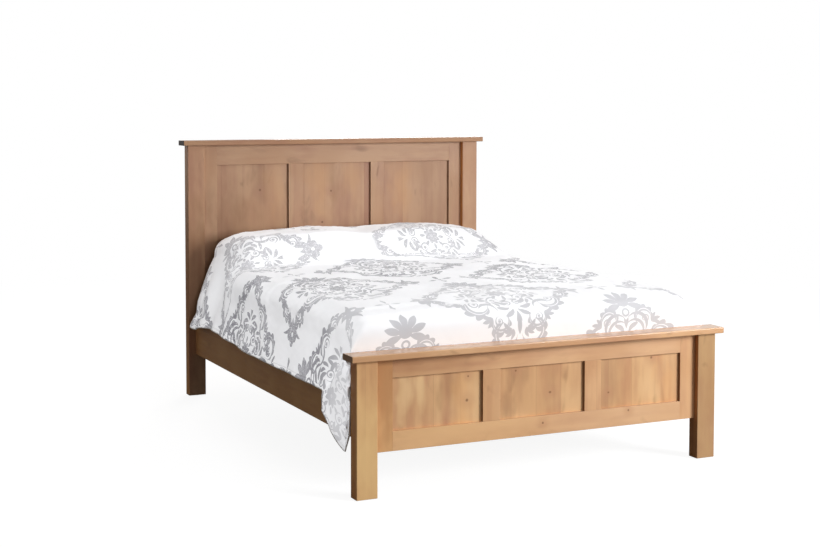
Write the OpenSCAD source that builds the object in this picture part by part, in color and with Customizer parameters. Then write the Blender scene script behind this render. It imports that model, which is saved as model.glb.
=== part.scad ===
// Panel bed with a tall headboard and a low footboard, made up with a comforter over two pillows.
// All sizes are in millimetres. X runs across the bed, Y towards the headboard and Z up.
// The origin lies on the floor, in the middle of the bed's outline.

/* [Mattress] */
// Width of the mattress
mattress_w = 1524; // [1370:1:1930]
// Length of the mattress
mattress_l = 2032; // [1900:1:2130]
// Height of the mattress
mattress_h = 235; // [200:1:240]
// Radius of the mattress's corners, seen from above
mattress_corner_r = 120; // [90:1:180]
// Radius along the mattress's top and bottom edges
mattress_edge_r = 60; // [45:1:80]
// Height of the low foundation under the mattress
foundation_h = 127; // [100:1:150]
// How much shorter and narrower the foundation is than the mattress, on each side
foundation_inset = 4; // [1:1:20]
// Radius of the foundation's corners
foundation_corner_r = 40; // [10:1:80]
// Gap between the mattress and each side rail
mattress_side_gap = 7; // [3:0.5:20]
// Gap between the mattress and the head posts
mattress_head_gap = 8; // [3:1:20]
// Gap between the mattress and the foot posts
mattress_foot_gap = 42; // [38:1:70]

/* [Posts] */
// Width of a post, across the bed
post_w = 88; // [76:1:120]
// Depth of a post, along the bed
post_d = 57; // [52:1:90]
// Radius of a post's eased edges
post_edge_r = 2.5; // [1:0.5:6]
// Thickness of the glide under each post
glide_t = 3; // [2:0.5:6]
// Diameter of a glide
glide_d = 34; // [20:1:50]
// Length of the nail that holds a glide
glide_nail_l = 18; // [12:1:30]

/* [Caps] */
// Thickness of the headboard's and footboard's caps
cap_t = 25; // [20:0.5:38]
// How far a cap reaches past the posts at each side
cap_side = 26; // [10:1:50]
// How far a cap reaches past the posts towards the foot
cap_front = 22; // [8:1:40]
// How far a cap reaches past the posts towards the head
cap_back = 16; // [6:1:20]
// Radius of a cap's eased long edges
cap_edge_r = 4; // [2:0.5:9]

/* [Headboard] */
// Height from the floor to the top of the head cap
head_h = 1308; // [1150:1:1500]
// Height of the underside of the headboard's frame
head_frame_z = 300; // [215:1:380]
// Width of the headboard's top rail
head_top_rail_w = 103; // [70:1:160]
// Width of the headboard's bottom rail
head_bottom_rail_w = 140; // [80:1:200]

/* [Footboard] */
// Height from the floor to the top of the foot cap
foot_h = 559; // [520:1:580]
// Height of the underside of the footboard's frame
foot_frame_z = 173; // [120:1:200]
// Width of the footboard's top rail
foot_top_rail_w = 77; // [50:1:100]
// Width of the footboard's bottom rail
foot_bottom_rail_w = 77; // [50:1:100]

/* [Frames and panels] */
// Thickness of the stiles, mullions and rails
frame_t = 25; // [20:0.5:30]
// How far a frame's front stands behind the front of its posts
frame_setback = 24; // [12:1:30]
// Width of an end stile
stile_w = 74; // [50:1:110]
// Width of a mullion
mullion_w = 78; // [50:1:110]
// Thickness of a panel, and of the tongues that share its groove
panel_t = 8; // [6:0.5:9]
// How far a panel's face lies behind the front of its frame
panel_recess = 12; // [6:0.5:13]
// Depth of the grooves that hold panels and tongues
groove_d = 10; // [6:0.5:14]
// Room left beyond a panel's edge for the wood to move
panel_float = 1; // [0.5:0.1:3]
// Clearance on each face of a tongue or dowel
fit_gap = 0.2; // [0.1:0.05:0.3]
// Diameter of the dowels that hold the caps
dowel_d = 10; // [6:0.5:12]
// Length of a cap dowel
dowel_l = 40; // [30:1:60]
// Depth of a cap dowel in the cap
dowel_in_cap = 15; // [10:0.5:18]

/* [Side rails] */
// Height of the underside of a side rail
rail_z = 215; // [180:1:260]
// Height of a side rail's board
rail_h = 178; // [160:1:190]
// Thickness of a side rail
rail_t = 25; // [20:0.5:32]
// How far a side rail's outer face stands inside the post's
rail_inset = 36; // [20:1:45]
// Radius of a side rail's eased edges
rail_edge_r = 2.5; // [1:0.5:5]

/* [Rail fittings] */
// Width of the steel plates, across the bed
plate_w = 17; // [15:0.5:19]
// Height of the steel plates
plate_h = 130; // [128:1:146]
// Thickness of the steel plates
plate_t = 3; // [2:0.5:4]
// Thickness of a hook
hook_t = 3; // [2:0.5:4]
// Height of a hook's neck
hook_neck_h = 16; // [12:0.5:20]
// How far a hook reaches into the post
hook_reach = 14; // [12:0.5:18]
// How far a hook's lip hangs below its neck
hook_drop = 9; // [6:0.5:12]
// Distance from one hook to the other
hook_pitch = 62; // [50:1:70]
// Room around a hook in its slot
slot_room = 1; // [0.5:0.1:2]

/* [Cleats and slats] */
// Width of a cleat, across the bed
cleat_w = 25; // [18:0.5:32]
// Height of a cleat
cleat_h = 38; // [30:0.5:50]
// Height of a cleat above the underside of its rail
cleat_up = 17; // [0:1:40]
// Number of slats
slat_count = 5; // [3:2:7]
// Width of a slat
slat_w = 120; // [70:1:150]
// Thickness of a slat
slat_t = 19; // [16:0.5:25]
// Radius of a slat's eased edges
slat_edge_r = 2; // [0.5:0.5:5]
// Gap between a slat's end and the side rail
slat_end_gap = 3; // [1:0.5:8]
// Distance from the first and last slat's middle to the posts
slat_margin = 275; // [180:1:320]

/* [Centre legs] */
// Side of a square centre leg
leg_w = 45; // [38:1:60]
// Radius of a leg's eased edges
leg_edge_r = 3; // [1:0.5:8]
// Diameter of the pad of a levelling foot
foot_pad_d = 38; // [28:1:44]
// Diameter of the pad's top
foot_pad_top_d = 24; // [16:1:26]
// Height of the pad of a levelling foot
foot_pad_h = 9; // [6:0.5:14]
// Diameter of a levelling foot's stud
foot_stud_d = 10; // [8:0.5:12]
// Outer diameter of the insert in a leg
insert_d = 15; // [13.5:0.5:18]
// Length of the insert
insert_l = 22; // [14:0.5:30]
// Clearance around the stud in its insert
foot_run_gap = 0.05; // [0.02:0.01:0.09]
// How far a levelling foot screws out
foot_travel = 20; // [8:1:20]

/* [Screws] */
// Diameter of a screw's shank
screw_d = 4; // [3:0.5:5]
// Diameter of a screw's head
screw_head_d = 8; // [7:0.5:9]
// Height of a screw's head
screw_head_h = 2.4; // [1.5:0.1:2.8]
// How deep a screw bites into the wood behind the piece that it holds
screw_bite = 16; // [12:0.5:18]
// Number of screws in a cleat
cleat_screw_count = 7; // [4:1:12]

/* [Pillows] */
// Distance from a pillow's outer end to the side of the mattress
pillow_side_gap = 102; // [90:1:150]
// Gap between the two pillows
pillow_apart = 40; // [10:1:100]
// Width of a pillow, along the bed
pillow_w = 470; // [400:1:520]
// Height of a pillow at its crown
pillow_h = 185; // [120:1:200]
// Gap between the pillows and the head posts
pillow_head_gap = 14; // [10:1:40]

/* [Comforter] */
// Thickness of the comforter where it lies flat
comforter_t = 54; // [46:0.5:60]
// Thickness of the comforter along its edges and in its tails
comforter_edge_t = 12; // [10:0.5:15]
// Height of the comforter's crown above its shoulders, in the middle of the bed
comforter_crown = 10; // [5:1:30]
// How far the flat top ends inside the side of the mattress
shoulder_inset = 47; // [35:1:60]
// Width and height of the rounded shoulder beside the flat top
shoulder_w = 82; // [75:1:110]
// How far the comforter's side hangs outside the side rail's outer face, at the hem
hem_out = 44; // [40:1:60]
// Height of the hem
hem_z = 371; // [300:1:385]
// How much the hem rises beside the pillows
hem_head_up = 15; // [0:1:20]
// Depth of the folds in the hanging sides
fold_depth = 6; // [0:1:8]
// Number of folds along a hanging side
fold_count = 5; // [3:1:6]
// Depth to which the comforter is tucked below the top of the foot cap
tuck_depth = 130; // [60:1:160]

/* [Comforter over the pillows] */
// Room between the pillows' crown and the comforter
pillow_loft = 13; // [9:1:20]
// Height of the comforter's crown over the pillows
hump_crown = 18; // [5:1:30]
// Depth of the dip between the two pillows
hump_dip = 12; // [0:1:16]
// How far the flat top over the pillows ends inside their outer ends
hump_inset = 120; // [90:1:140]
// Width of the shoulder over the pillows
hump_shoulder_w = 155; // [130:1:180]
// Height of the shoulder over the pillows
hump_shoulder_h = 105; // [80:1:120]
// Length of the hump's front, along the bed
hump_front_l = 200; // [140:1:240]
// How far the hump's front starts ahead of the pillows
hump_ahead = 130; // [120:1:180]
// How much further back the hump's front starts at the bed's sides
hump_set_back = 100; // [0:1:110]

/* [Comforter at the foot] */
// Length of the slope where the comforter's top falls towards the foot
foot_slope_l = 459; // [400:1:600]
// How far the flat top reaches outside the side of the mattress, beside the foot cap
foot_reach = 30; // [0:1:32]
// Width of the shoulder beside the foot cap
foot_shoulder_w = 40; // [30:1:44]
// Height of the shoulder beside the foot cap
foot_shoulder_h = 60; // [40:1:80]
// Distance from the foot posts to where a foot tail starts
tail_l = 252; // [180:1:300]
// Distance from the foot posts to the tip of a tail
tail_tip_l = 38; // [20:1:60]
// How far a foot tail hangs below the hem
tail_drop = 199; // [60:1:210]

/* [Hidden] */
SIDES = [-1, 1];
MOULD_FN = 48;
ROUND_FN = 64;

// Places across the bed
rail_inner_x = mattress_w / 2 + mattress_side_gap;
rail_outer_x = rail_inner_x + rail_t;
post_outer_x = rail_outer_x + rail_inset;
post_inner_x = post_outer_x - post_w;
post_mid_x = post_outer_x - post_w / 2;
rail_mid_x = (rail_inner_x + rail_outer_x) / 2;
cap_l = 2 * (post_outer_x + cap_side);

// Places along the bed
rail_l = mattress_l + mattress_head_gap + mattress_foot_gap;
bed_l = rail_l + 2 * post_d + cap_front + cap_back;
foot_front_y = -bed_l / 2 + cap_front;
foot_back_y = foot_front_y + post_d;
head_front_y = foot_back_y + rail_l;
mattress_foot_y = foot_back_y + mattress_foot_gap;
mattress_head_y = head_front_y - mattress_head_gap;
mattress_mid_y = (mattress_foot_y + mattress_head_y) / 2;
cap_d = post_d + cap_front + cap_back;

// Heights
head_post_top = head_h - cap_t;
foot_post_top = foot_h - cap_t;
cleat_z = rail_z + cleat_up;
slat_z = cleat_z + cleat_h;
slat_top = slat_z + slat_t;
soft_gap = 0.3;
foundation_z = slat_top + soft_gap;
mattress_z = foundation_z + foundation_h + soft_gap;
mattress_top = mattress_z + mattress_h;

// Framed boards: clear width between the posts, shared by two stiles, two mullions and three panels
board_w = 2 * post_inner_x;
panel_w = (board_w - 2 * stile_w - 2 * mullion_w) / 3;
mullion_x = (panel_w + mullion_w) / 2;
panel_x = panel_w + mullion_w;
tongue_l = groove_d - panel_float;
panel_depth_y = frame_setback + panel_recess;

// Slats and centre legs
slat_first_y = foot_back_y + slat_margin;
slat_pitch = (rail_l - 2 * slat_margin) / (slat_count - 1);
slat_l = 2 * (rail_inner_x - slat_end_gap);
slat_screw_x = rail_inner_x - cleat_w / 2;
leg_inner_slat = floor((slat_count - 1) / 4);
LEG_SLATS = [leg_inner_slat, (slat_count - 1) / 2, slat_count - 1 - leg_inner_slat];
LEG_NAMES = ["foot_end", "middle", "head_end"];
leg_gap = soft_gap;
leg_z = foot_pad_h + leg_gap;
stud_end_room = 2;
foot_stud_l = insert_l + foot_travel + stud_end_room;
stud_room = 6;
insert_step = 1;
foot_chamfer = 1;

// Hooks: heights of the necks' undersides, in the middle of the rail
HOOK_Z = [for (s = SIDES) rail_z + rail_h / 2 + s * hook_pitch / 2 - hook_neck_h / 2];
hook_plate_z = rail_z + (rail_h - plate_h) / 2;
slot_h = hook_neck_h + hook_drop + 2 * slot_room;
hook_lip_t = hook_reach - plate_t - soft_gap;
HOOK_SCREW_Z = [for (s = SIDES) rail_z + rail_h / 2 + s * screw_head_d];
SLOT_SCREW_Z = [for (s = SIDES) rail_z + rail_h / 2 + s * (plate_h / 2 - screw_head_d)];

function slat_y(i) = slat_first_y + i * slat_pitch;
function lerp(a, b, t) = a + (b - a) * t;
function clamp(t) = min(max(t, 0), 1);
function smooth(t) = let (c = clamp(t)) c * c * (3 - 2 * c);

// General shapes

// Rectangle around the origin with rounded corners made of true arcs
module eased_rect(w, d, r) {
    square([w - 2 * r, d], center = true);
    square([w, d - 2 * r], center = true);
    for (x = SIDES, y = SIDES)
        translate([x * (w / 2 - r), y * (d / 2 - r)])
            circle(r = r, $fn = MOULD_FN);
}

// Countersunk screw with its head's face at the origin, pointing along -Z; extra widens it into a hole
module screw(length, extra = 0) {
    rotate([180, 0, 0])
        rotate_extrude($fn = ROUND_FN)
            polygon([
                [0, -extra],
                [screw_head_d / 2 + extra, -extra],
                [screw_head_d / 2 + extra, 0],
                [screw_d / 2 + extra, screw_head_h],
                [screw_d / 2 + extra, length + extra],
                [0, length + extra]
            ]);
}

// Cushion on the XY plane: crowned above its seam, nearly flat below it, sides drawn in between the corners
module cushion(l, w, h, nx = 18, ny = 14) {
    seam_z = 0.32 * h;
    pull = 0.05;
    grid = [for (j = [0:ny]) for (i = [0:nx]) [-cos(180 * i / nx), -cos(180 * j / ny)]];
    function crown(a, b) = pow((1 - pow(abs(a), 3)) * (1 - pow(abs(b), 3)), 0.5);
    function plan(a, b) = [
        a * l / 2 * (1 - pull * (1 - b * b) * abs(a)),
        b * w / 2 * (1 - pull * (1 - a * a) * abs(b))
    ];
    n = len(grid);
    top = [for (g = grid) concat(plan(g[0], g[1]), [seam_z + (h - seam_z) * crown(g[0], g[1])])];
    bottom = [for (g = grid) concat(plan(g[0], g[1]), [seam_z * (1 - pow(crown(g[0], g[1]), 0.5))])];
    // The rim's points are the top's own, so that the two skins share their seam
    inside = [for (j = [0:ny]) for (i = [0:nx]) i > 0 && i < nx && j > 0 && j < ny];
    function at(i, j) = j * (nx + 1) + i;
    function under(i, j) = inside[at(i, j)] ? n + at(i, j) : at(i, j);
    // Each cell is split along the diagonal that points at its nearest corner of the cushion
    function split(q, rising) = rising
        ? [[q[0], q[3], q[2]], [q[0], q[2], q[1]]]
        : [[q[1], q[0], q[3]], [q[1], q[3], q[2]]];
    function turned(f) = [f[0], f[2], f[1]];
    function rising(i, j) = (2 * i < nx) == (2 * j < ny);
    faces = [
        for (j = [0:ny - 1]) for (i = [0:nx - 1])
            for (f = concat(
                split([at(i, j), at(i + 1, j), at(i + 1, j + 1), at(i, j + 1)], rising(i, j)),
                [for (g = split([under(i, j), under(i + 1, j), under(i + 1, j + 1), under(i, j + 1)],
                    rising(i, j))) turned(g)]
            )) f
    ];
    polyhedron(concat(top, bottom), faces);
}

// Posts, caps and their dowels

// Places of the dowels along a cap: two in each post and three in the top rail
CAP_DOWEL_X = concat(
    [for (s = SIDES) for (t = SIDES) s * post_mid_x + t * post_w / 4],
    [for (i = [-1:1]) i * panel_x]
);

function dowel_y(x) = abs(x) > post_inner_x ? post_d / 2 : frame_setback + frame_t / 2;

// Dowels of a board whose posts' fronts are at y = 0 and whose cap lies at height z
module cap_dowels(z, extra = 0) {
    for (x = CAP_DOWEL_X)
        translate([x, dowel_y(x), z - (dowel_l - dowel_in_cap) - extra])
            cylinder(d = dowel_d + 2 * extra, h = dowel_l + 2 * extra, $fn = ROUND_FN);
}

// Cap of a board whose posts' fronts are at y = 0
module cap(z) {
    color("burlywood")
        difference() {
            translate([-cap_l / 2, (post_d + cap_back - cap_front) / 2, z + cap_t / 2])
                rotate([90, 0, 90])
                    linear_extrude(cap_l)
                        eased_rect(cap_d, cap_t, cap_edge_r);
            cap_dowels(z, fit_gap);
        }
}

// Post of a board, its front at y = 0; the frame's end stile has its tongue in the post's groove
module post(side, top, frame_z, rail_face_y, rail_dir) {
    color("peru")
        difference() {
            translate([side * post_mid_x, post_d / 2, glide_t])
                linear_extrude(top - glide_t)
                    eased_rect(post_w, post_d, post_edge_r);
            translate([0, panel_depth_y - fit_gap, frame_z - fit_gap])
                mirror([side < 0 ? 1 : 0, 0, 0])
                    translate([post_inner_x - groove_d, 0, 0])
                        cube([2 * groove_d, panel_t + 2 * fit_gap, top]);
            cap_dowels(top, fit_gap);
            translate([side * post_mid_x, post_d / 2, glide_t - 1])
                cylinder(d = screw_d + 2 * fit_gap, h = glide_nail_l + 1 + fit_gap, $fn = ROUND_FN);
            translate([side * rail_mid_x, rail_face_y, 0])
                mirror([0, rail_dir < 0 ? 1 : 0, 0])
                    post_slot_cuts();
        }
}

// Rail fittings, drawn for a post whose face is at y = 0 with its wood towards +Y

module post_slot_cuts() {
    translate([-plate_w / 2 - fit_gap, -1, hook_plate_z - fit_gap])
        cube([plate_w + 2 * fit_gap, plate_t + 1, plate_h + 2 * fit_gap]);
    for (z = HOOK_Z)
        translate([-hook_t / 2 - slot_room, 0, z - hook_drop - slot_room])
            cube([hook_t + 2 * slot_room, hook_reach + slot_room, slot_h + slot_room]);
    for (z = SLOT_SCREW_Z)
        translate([0, 0, z])
            rotate([90, 0, 0])
                screw(plate_t + screw_bite, fit_gap);
}

module slot_plate() {
    difference() {
        translate([-plate_w / 2, 0, hook_plate_z])
            cube([plate_w, plate_t, plate_h]);
        for (z = HOOK_Z)
            translate([-hook_t / 2 - slot_room, -1, z])
                cube([hook_t + 2 * slot_room, plate_t + 2, slot_h]);
        for (z = SLOT_SCREW_Z)
            translate([0, 0, z])
                rotate([90, 0, 0])
                    screw(plate_t + screw_bite, fit_gap);
    }
}

// Plate let into the rail's end, with two hooks that pass the slots and hang behind the slotted plate
module hook_plate() {
    difference() {
        translate([-plate_w / 2, -plate_t, hook_plate_z])
            cube([plate_w, plate_t, plate_h]);
        for (z = HOOK_SCREW_Z)
            translate([0, 0, z])
                rotate([-90, 0, 0])
                    screw(plate_t + screw_bite, fit_gap);
    }
    for (z = HOOK_Z)
        translate([-hook_t / 2, 0, z])
            rotate([90, 0, 90])
                linear_extrude(hook_t)
                    polygon([
                        [-plate_t / 2, 0],
                        [plate_t + soft_gap, 0],
                        [plate_t + soft_gap, -hook_drop],
                        [hook_reach - hook_lip_t / 3, -hook_drop],
                        [hook_reach, -hook_drop + hook_lip_t / 3],
                        [hook_reach, hook_neck_h - hook_lip_t / 2],
                        [hook_reach - hook_lip_t / 2, hook_neck_h],
                        [-plate_t / 2, hook_neck_h]
                    ]);
}

module plate_screw_pair() {
    for (z = HOOK_SCREW_Z)
        translate([0, 0, z])
            rotate([-90, 0, 0])
                screw(plate_t + screw_bite);
    for (z = SLOT_SCREW_Z)
        translate([0, 0, z])
            rotate([90, 0, 0])
                screw(plate_t + screw_bite);
}

// Repeats what it is given at the four ends of the side rails
module at_rail_ends() {
    for (s = SIDES) {
        translate([s * rail_mid_x, head_front_y, 0])
            children();
        translate([s * rail_mid_x, foot_back_y, 0])
            mirror([0, 1, 0])
                children();
    }
}

// Framed boards: y = 0 is the front of the posts

// Bar of the frame from x0 to x1 and z0 to z1
module frame_bar(x0, x1, z0, z1) {
    translate([x0, frame_setback, z0])
        cube([x1 - x0, frame_t, z1 - z0]);
}

// Tongue or panel edge in the plane of the panels, grown by extra on its faces
module panel_slab(x0, x1, z0, z1, extra = 0) {
    translate([x0, panel_depth_y - extra, z0])
        cube([x1 - x0, panel_t + 2 * extra, z1 - z0]);
}

module end_stile(side, z0, z1) {
    outer = board_w / 2;
    inner = outer - stile_w;
    color("tan")
        mirror([side < 0 ? 1 : 0, 0, 0])
            difference() {
                union() {
                    frame_bar(inner, outer, z0, z1);
                    panel_slab(outer - 1, outer + tongue_l, z0, z1);
                }
                panel_slab(inner - 1, inner + groove_d, z0 - 1, z1 + 1, fit_gap);
            }
}

// Rail between the end stiles; the groove for the panels runs along its upper or lower edge
module board_rail(z0, z1, groove_up, dowel_z = 0) {
    half = board_w / 2 - stile_w;
    edge_z = groove_up ? z1 - groove_d : z0 - 1;
    color("burlywood")
        difference() {
            union() {
                frame_bar(-half, half, z0, z1);
                panel_slab(-half - tongue_l, half + tongue_l, z0, z1);
            }
            panel_slab(-half - groove_d - 1, half + groove_d + 1, edge_z, edge_z + groove_d + 1, fit_gap);
            if (dowel_z > 0)
                cap_dowels(dowel_z, fit_gap);
        }
}

module mullion(side, z0, z1) {
    x = side * mullion_x - mullion_w / 2;
    color("tan")
        difference() {
            union() {
                frame_bar(x, x + mullion_w, z0, z1);
                panel_slab(x, x + mullion_w, z0 - tongue_l, z1 + tongue_l);
            }
            panel_slab(x - 1, x + groove_d, z0 - groove_d - 1, z1 + groove_d + 1, fit_gap);
            panel_slab(x + mullion_w - groove_d, x + mullion_w + 1, z0 - groove_d - 1, z1 + groove_d + 1,
                fit_gap);
        }
}

module board_panel(place, z0, z1) {
    x = place * panel_x;
    color("wheat")
        panel_slab(x - panel_w / 2 - tongue_l, x + panel_w / 2 + tongue_l, z0 - tongue_l, z1 + tongue_l);
}

head_rail_top = head_frame_z + head_bottom_rail_w;
head_panel_top = head_post_top - head_top_rail_w;
foot_rail_top = foot_frame_z + foot_bottom_rail_w;
foot_panel_top = foot_post_top - foot_top_rail_w;

module at_head() {
    translate([0, head_front_y, 0])
        children();
}

module at_foot() {
    translate([0, foot_front_y, 0])
        children();
}

module head_post(side) at_head() post(side, head_post_top, head_frame_z, 0, 1);
module foot_post(side) at_foot() post(side, foot_post_top, foot_frame_z, post_d, -1);
module head_cap() at_head() cap(head_post_top);
module foot_cap() at_foot() cap(foot_post_top);
module head_cap_dowels() color("khaki") at_head() cap_dowels(head_post_top);
module foot_cap_dowels() color("khaki") at_foot() cap_dowels(foot_post_top);
module head_top_rail() at_head() board_rail(head_panel_top, head_post_top, false, head_post_top);
module head_bottom_rail() at_head() board_rail(head_frame_z, head_rail_top, true);
module foot_top_rail() at_foot() board_rail(foot_panel_top, foot_post_top, false, foot_post_top);
module foot_bottom_rail() at_foot() board_rail(foot_frame_z, foot_rail_top, true);
module head_stile(side) at_head() end_stile(side, head_frame_z, head_post_top);
module foot_stile(side) at_foot() end_stile(side, foot_frame_z, foot_post_top);
module head_mullion(side) at_head() mullion(side, head_rail_top, head_panel_top);
module foot_mullion(side) at_foot() mullion(side, foot_rail_top, foot_panel_top);
module head_panel(place) at_head() board_panel(place, head_rail_top, head_panel_top);
module foot_panel(place) at_foot() board_panel(place, foot_rail_top, foot_panel_top);

// Side rails, cleats and slats

function cleat_screw_y(i) = lerp(foot_back_y, head_front_y, (i + 0.5) / cleat_screw_count);

module cleat_screw_set(side, extra = 0) {
    for (i = [0:cleat_screw_count - 1])
        translate([side * (rail_inner_x - cleat_w), cleat_screw_y(i), cleat_z + cleat_h / 2])
            rotate([0, -side * 90, 0])
                screw(cleat_w + screw_bite, extra);
}

module side_rail(side) {
    color("saddlebrown")
        difference() {
            translate([side * rail_mid_x, head_front_y, rail_z + rail_h / 2])
                rotate([90, 0, 0])
                    linear_extrude(rail_l)
                        eased_rect(rail_t, rail_h, rail_edge_r);
            at_rail_ends() {
                translate([-plate_w / 2 - fit_gap, -plate_t, hook_plate_z - fit_gap])
                    cube([plate_w + 2 * fit_gap, plate_t + 1, plate_h + 2 * fit_gap]);
                for (z = HOOK_SCREW_Z)
                    translate([0, 0, z])
                        rotate([-90, 0, 0])
                            screw(plate_t + screw_bite, fit_gap);
            }
            cleat_screw_set(side, fit_gap);
        }
}

module cleat(side) {
    color("sienna")
        difference() {
            translate([
                side * (rail_inner_x - cleat_w / 2),
                (foot_back_y + head_front_y) / 2,
                cleat_z + cleat_h / 2
            ])
                cube([cleat_w, rail_l - 2 * fit_gap, cleat_h], center = true);
            cleat_screw_set(side, fit_gap);
            slat_screw_set(fit_gap);
        }
}

module slat_screw_set(extra = 0) {
    for (i = [0:slat_count - 1], s = SIDES)
        translate([s * slat_screw_x, slat_y(i) + slat_w / 4, slat_top])
            screw(slat_t + screw_bite, extra);
}

module leg_screw_set(extra = 0) {
    for (i = LEG_SLATS, s = SIDES)
        translate([s * leg_w / 4, slat_y(i), slat_top])
            screw(slat_t + 2 * screw_bite, extra);
}

module slat(i) {
    color("navajowhite")
        difference() {
            translate([0, slat_y(i), slat_z])
                translate([-slat_l / 2, 0, slat_t / 2])
                    rotate([90, 0, 90])
                        linear_extrude(slat_l)
                            eased_rect(slat_w, slat_t, slat_edge_r);
            slat_screw_set(fit_gap);
            leg_screw_set(fit_gap);
        }
}

// Centre legs with their levelling feet

module centre_leg(i) {
    color("tan")
        difference() {
            translate([0, slat_y(i), leg_z])
                linear_extrude(slat_z - leg_z)
                    eased_rect(leg_w, leg_w, leg_edge_r);
            translate([0, slat_y(i), leg_z - 1])
                cylinder(d = insert_d + 2 * fit_gap, h = insert_l + 1, $fn = ROUND_FN);
            translate([0, slat_y(i), leg_z])
                cylinder(d = insert_d - 2 * insert_step, h = foot_stud_l + stud_room, $fn = ROUND_FN);
            leg_screw_set(fit_gap);
        }
}

module leg_inserts() {
    color("silver")
        for (i = LEG_SLATS)
            translate([0, slat_y(i), leg_z])
                difference() {
                    cylinder(d = insert_d, h = insert_l, $fn = ROUND_FN);
                    translate([0, 0, -1])
                        cylinder(d = foot_stud_d + 2 * foot_run_gap, h = insert_l + 2, $fn = ROUND_FN);
                }
}

// Pad and stud in one piece; it stands on the floor with the stud screwed right in
module levelling_foot(i) {
    foot_r = foot_pad_d / 2;
    stud_r = foot_stud_d / 2;
    color("dimgray")
        translate([0, slat_y(i), 0])
            rotate_extrude($fn = ROUND_FN)
                polygon([
                    [0, 0],
                    [foot_r - foot_chamfer, 0],
                    [foot_r, foot_chamfer],
                    [foot_r, foot_pad_h / 2],
                    [foot_pad_top_d / 2, foot_pad_h],
                    [stud_r, foot_pad_h],
                    [stud_r, foot_pad_h + foot_stud_l - foot_chamfer],
                    [stud_r - foot_chamfer, foot_pad_h + foot_stud_l],
                    [0, foot_pad_h + foot_stud_l]
                ]);
}

module post_glides() {
    color("black")
        for (s = SIDES, y = [foot_front_y, head_front_y])
            translate([s * post_mid_x, y + post_d / 2, 0]) {
                cylinder(d = glide_d, h = glide_t, $fn = ROUND_FN);
                cylinder(d = screw_d, h = glide_t + glide_nail_l, $fn = ROUND_FN);
            }
}

// Foundation, mattress and pillows

module foundation() {
    color("gainsboro")
        translate([0, mattress_mid_y, foundation_z])
            linear_extrude(foundation_h)
                eased_rect(mattress_w - 2 * foundation_inset, mattress_l - 2 * foundation_inset,
                    foundation_corner_r);
}

module mattress() {
    color("whitesmoke")
        translate([0, mattress_mid_y, mattress_z])
            hull()
                for (x = SIDES, y = SIDES, z = [mattress_edge_r, mattress_h - mattress_edge_r])
                    translate([
                        x * (mattress_w / 2 - mattress_corner_r),
                        y * (mattress_l / 2 - mattress_corner_r),
                        z
                    ])
                        rotate_extrude($fn = 32)
                            mattress_edge_profile();
}

// Half section through the mattress's corner: a disc with a rounded rim
module mattress_edge_profile() {
    r = mattress_corner_r - mattress_edge_r;
    polygon(concat(
        [[0, -mattress_edge_r]],
        [for (a = [-90:15:90]) [r + mattress_edge_r * cos(a), mattress_edge_r * sin(a)]],
        [[0, mattress_edge_r]]
    ));
}

pillow_mid_y = head_front_y - pillow_head_gap - pillow_w / 2;
pillow_l = mattress_w / 2 - pillow_side_gap - pillow_apart / 2;
pillow_mid_x = (pillow_apart + pillow_l) / 2;

module pillow(side) {
    color("white")
        translate([side * pillow_mid_x, pillow_mid_y, mattress_top + soft_gap])
            cushion(pillow_l, pillow_w, pillow_h);
}

// Comforter: a grid of points over the mattress and pillows, with its inner skin set in along the normal.
// Columns run from hem to hem: the flat top, a rounded shoulder and the hanging side on each half.
// Rows run from the headboard to the foot, down the foot slope and into the tuck behind the foot cap.
TOP_COLS = 5;
SHOULDER_COLS = 4;
SIDE_COLS = 5;
HALF_COLS = TOP_COLS + SHOULDER_COLS + SIDE_COLS;
FLAT_ROWS = 11;
SLOPE_ROWS = 7;
TUCK_ROWS = 2;
ROWS = FLAT_ROWS + SLOPE_ROWS + TUCK_ROWS;

// Powers that shape the foot slope: boxy over the mattress and softer at its corners, from a first column on
MIDDLE_POWER = 4.6;
CORNER_POWER = 3.3;
CORNER_FIRST_COL = 3;
CORNER_COLS = 4;
// Columns over which the hump's front is set back towards the bed's sides
SET_BACK_FIRST_COL = 2;
SET_BACK_COLS = 6;
// Powers of the crown across the bed: round where it lies flat and fuller over the pillows
CROWN_POWER = 2;
HUMP_CROWN_POWER = 4;
// Powers that shape the hanging side: hollow beside the mattress, full beside the pillows
SIDE_POWER = 1.6;
HUMP_SIDE_POWER = 0.55;
HEAD_SIDE_POWER = 0.6;
// Parts of a tail's drop: its upright corner, and what its back edge rises again
TAIL_CORNER_SHARE = 0.33;
TAIL_BACK_SHARE = 0.35;

board_gap = 3;
comforter_head_gap = 10;
comforter_head_y = head_front_y - comforter_head_gap;
tuck_y = foot_back_y + cap_back + board_gap;
end_y = foot_back_y + board_gap;
slope_y = tuck_y + foot_slope_l;
comforter_top = mattress_top + soft_gap + comforter_t;
pillow_front_y = pillow_mid_y - pillow_w / 2;
hump_rise = pillow_h + comforter_edge_t + pillow_loft - comforter_t - hump_crown;
head_fall_l = 160;
head_fall_share = 0.2;
dip_w = 110;
tail_start_y = foot_back_y + tail_l;
tail_tip_y = foot_back_y + tail_tip_l;
tail_corner_l = 24;
hem_rise_ahead = 210;
hem_rise_y = pillow_front_y - hem_rise_ahead;
hem_rise_l = 400;

// Half the width of the flat top, then the width and the height of the shoulder beside it
FLAT_SECTION = [mattress_w / 2 - shoulder_inset, shoulder_w, shoulder_w];
HUMP_SECTION = [mattress_w / 2 - pillow_side_gap - hump_inset, hump_shoulder_w, hump_shoulder_h];
FOOT_SECTION = [mattress_w / 2 + foot_reach, foot_shoulder_w, foot_shoulder_h];

// How much further back the hump's front lies at column m
function set_back(m) = hump_set_back * smooth((m - SET_BACK_FIRST_COL) / SET_BACK_COLS);

// How far a place lies over the pillows, from 0 to 1
function over_pillows(m, y) = smooth((y - set_back(m) - pillow_front_y + hump_ahead) / hump_front_l);

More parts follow.
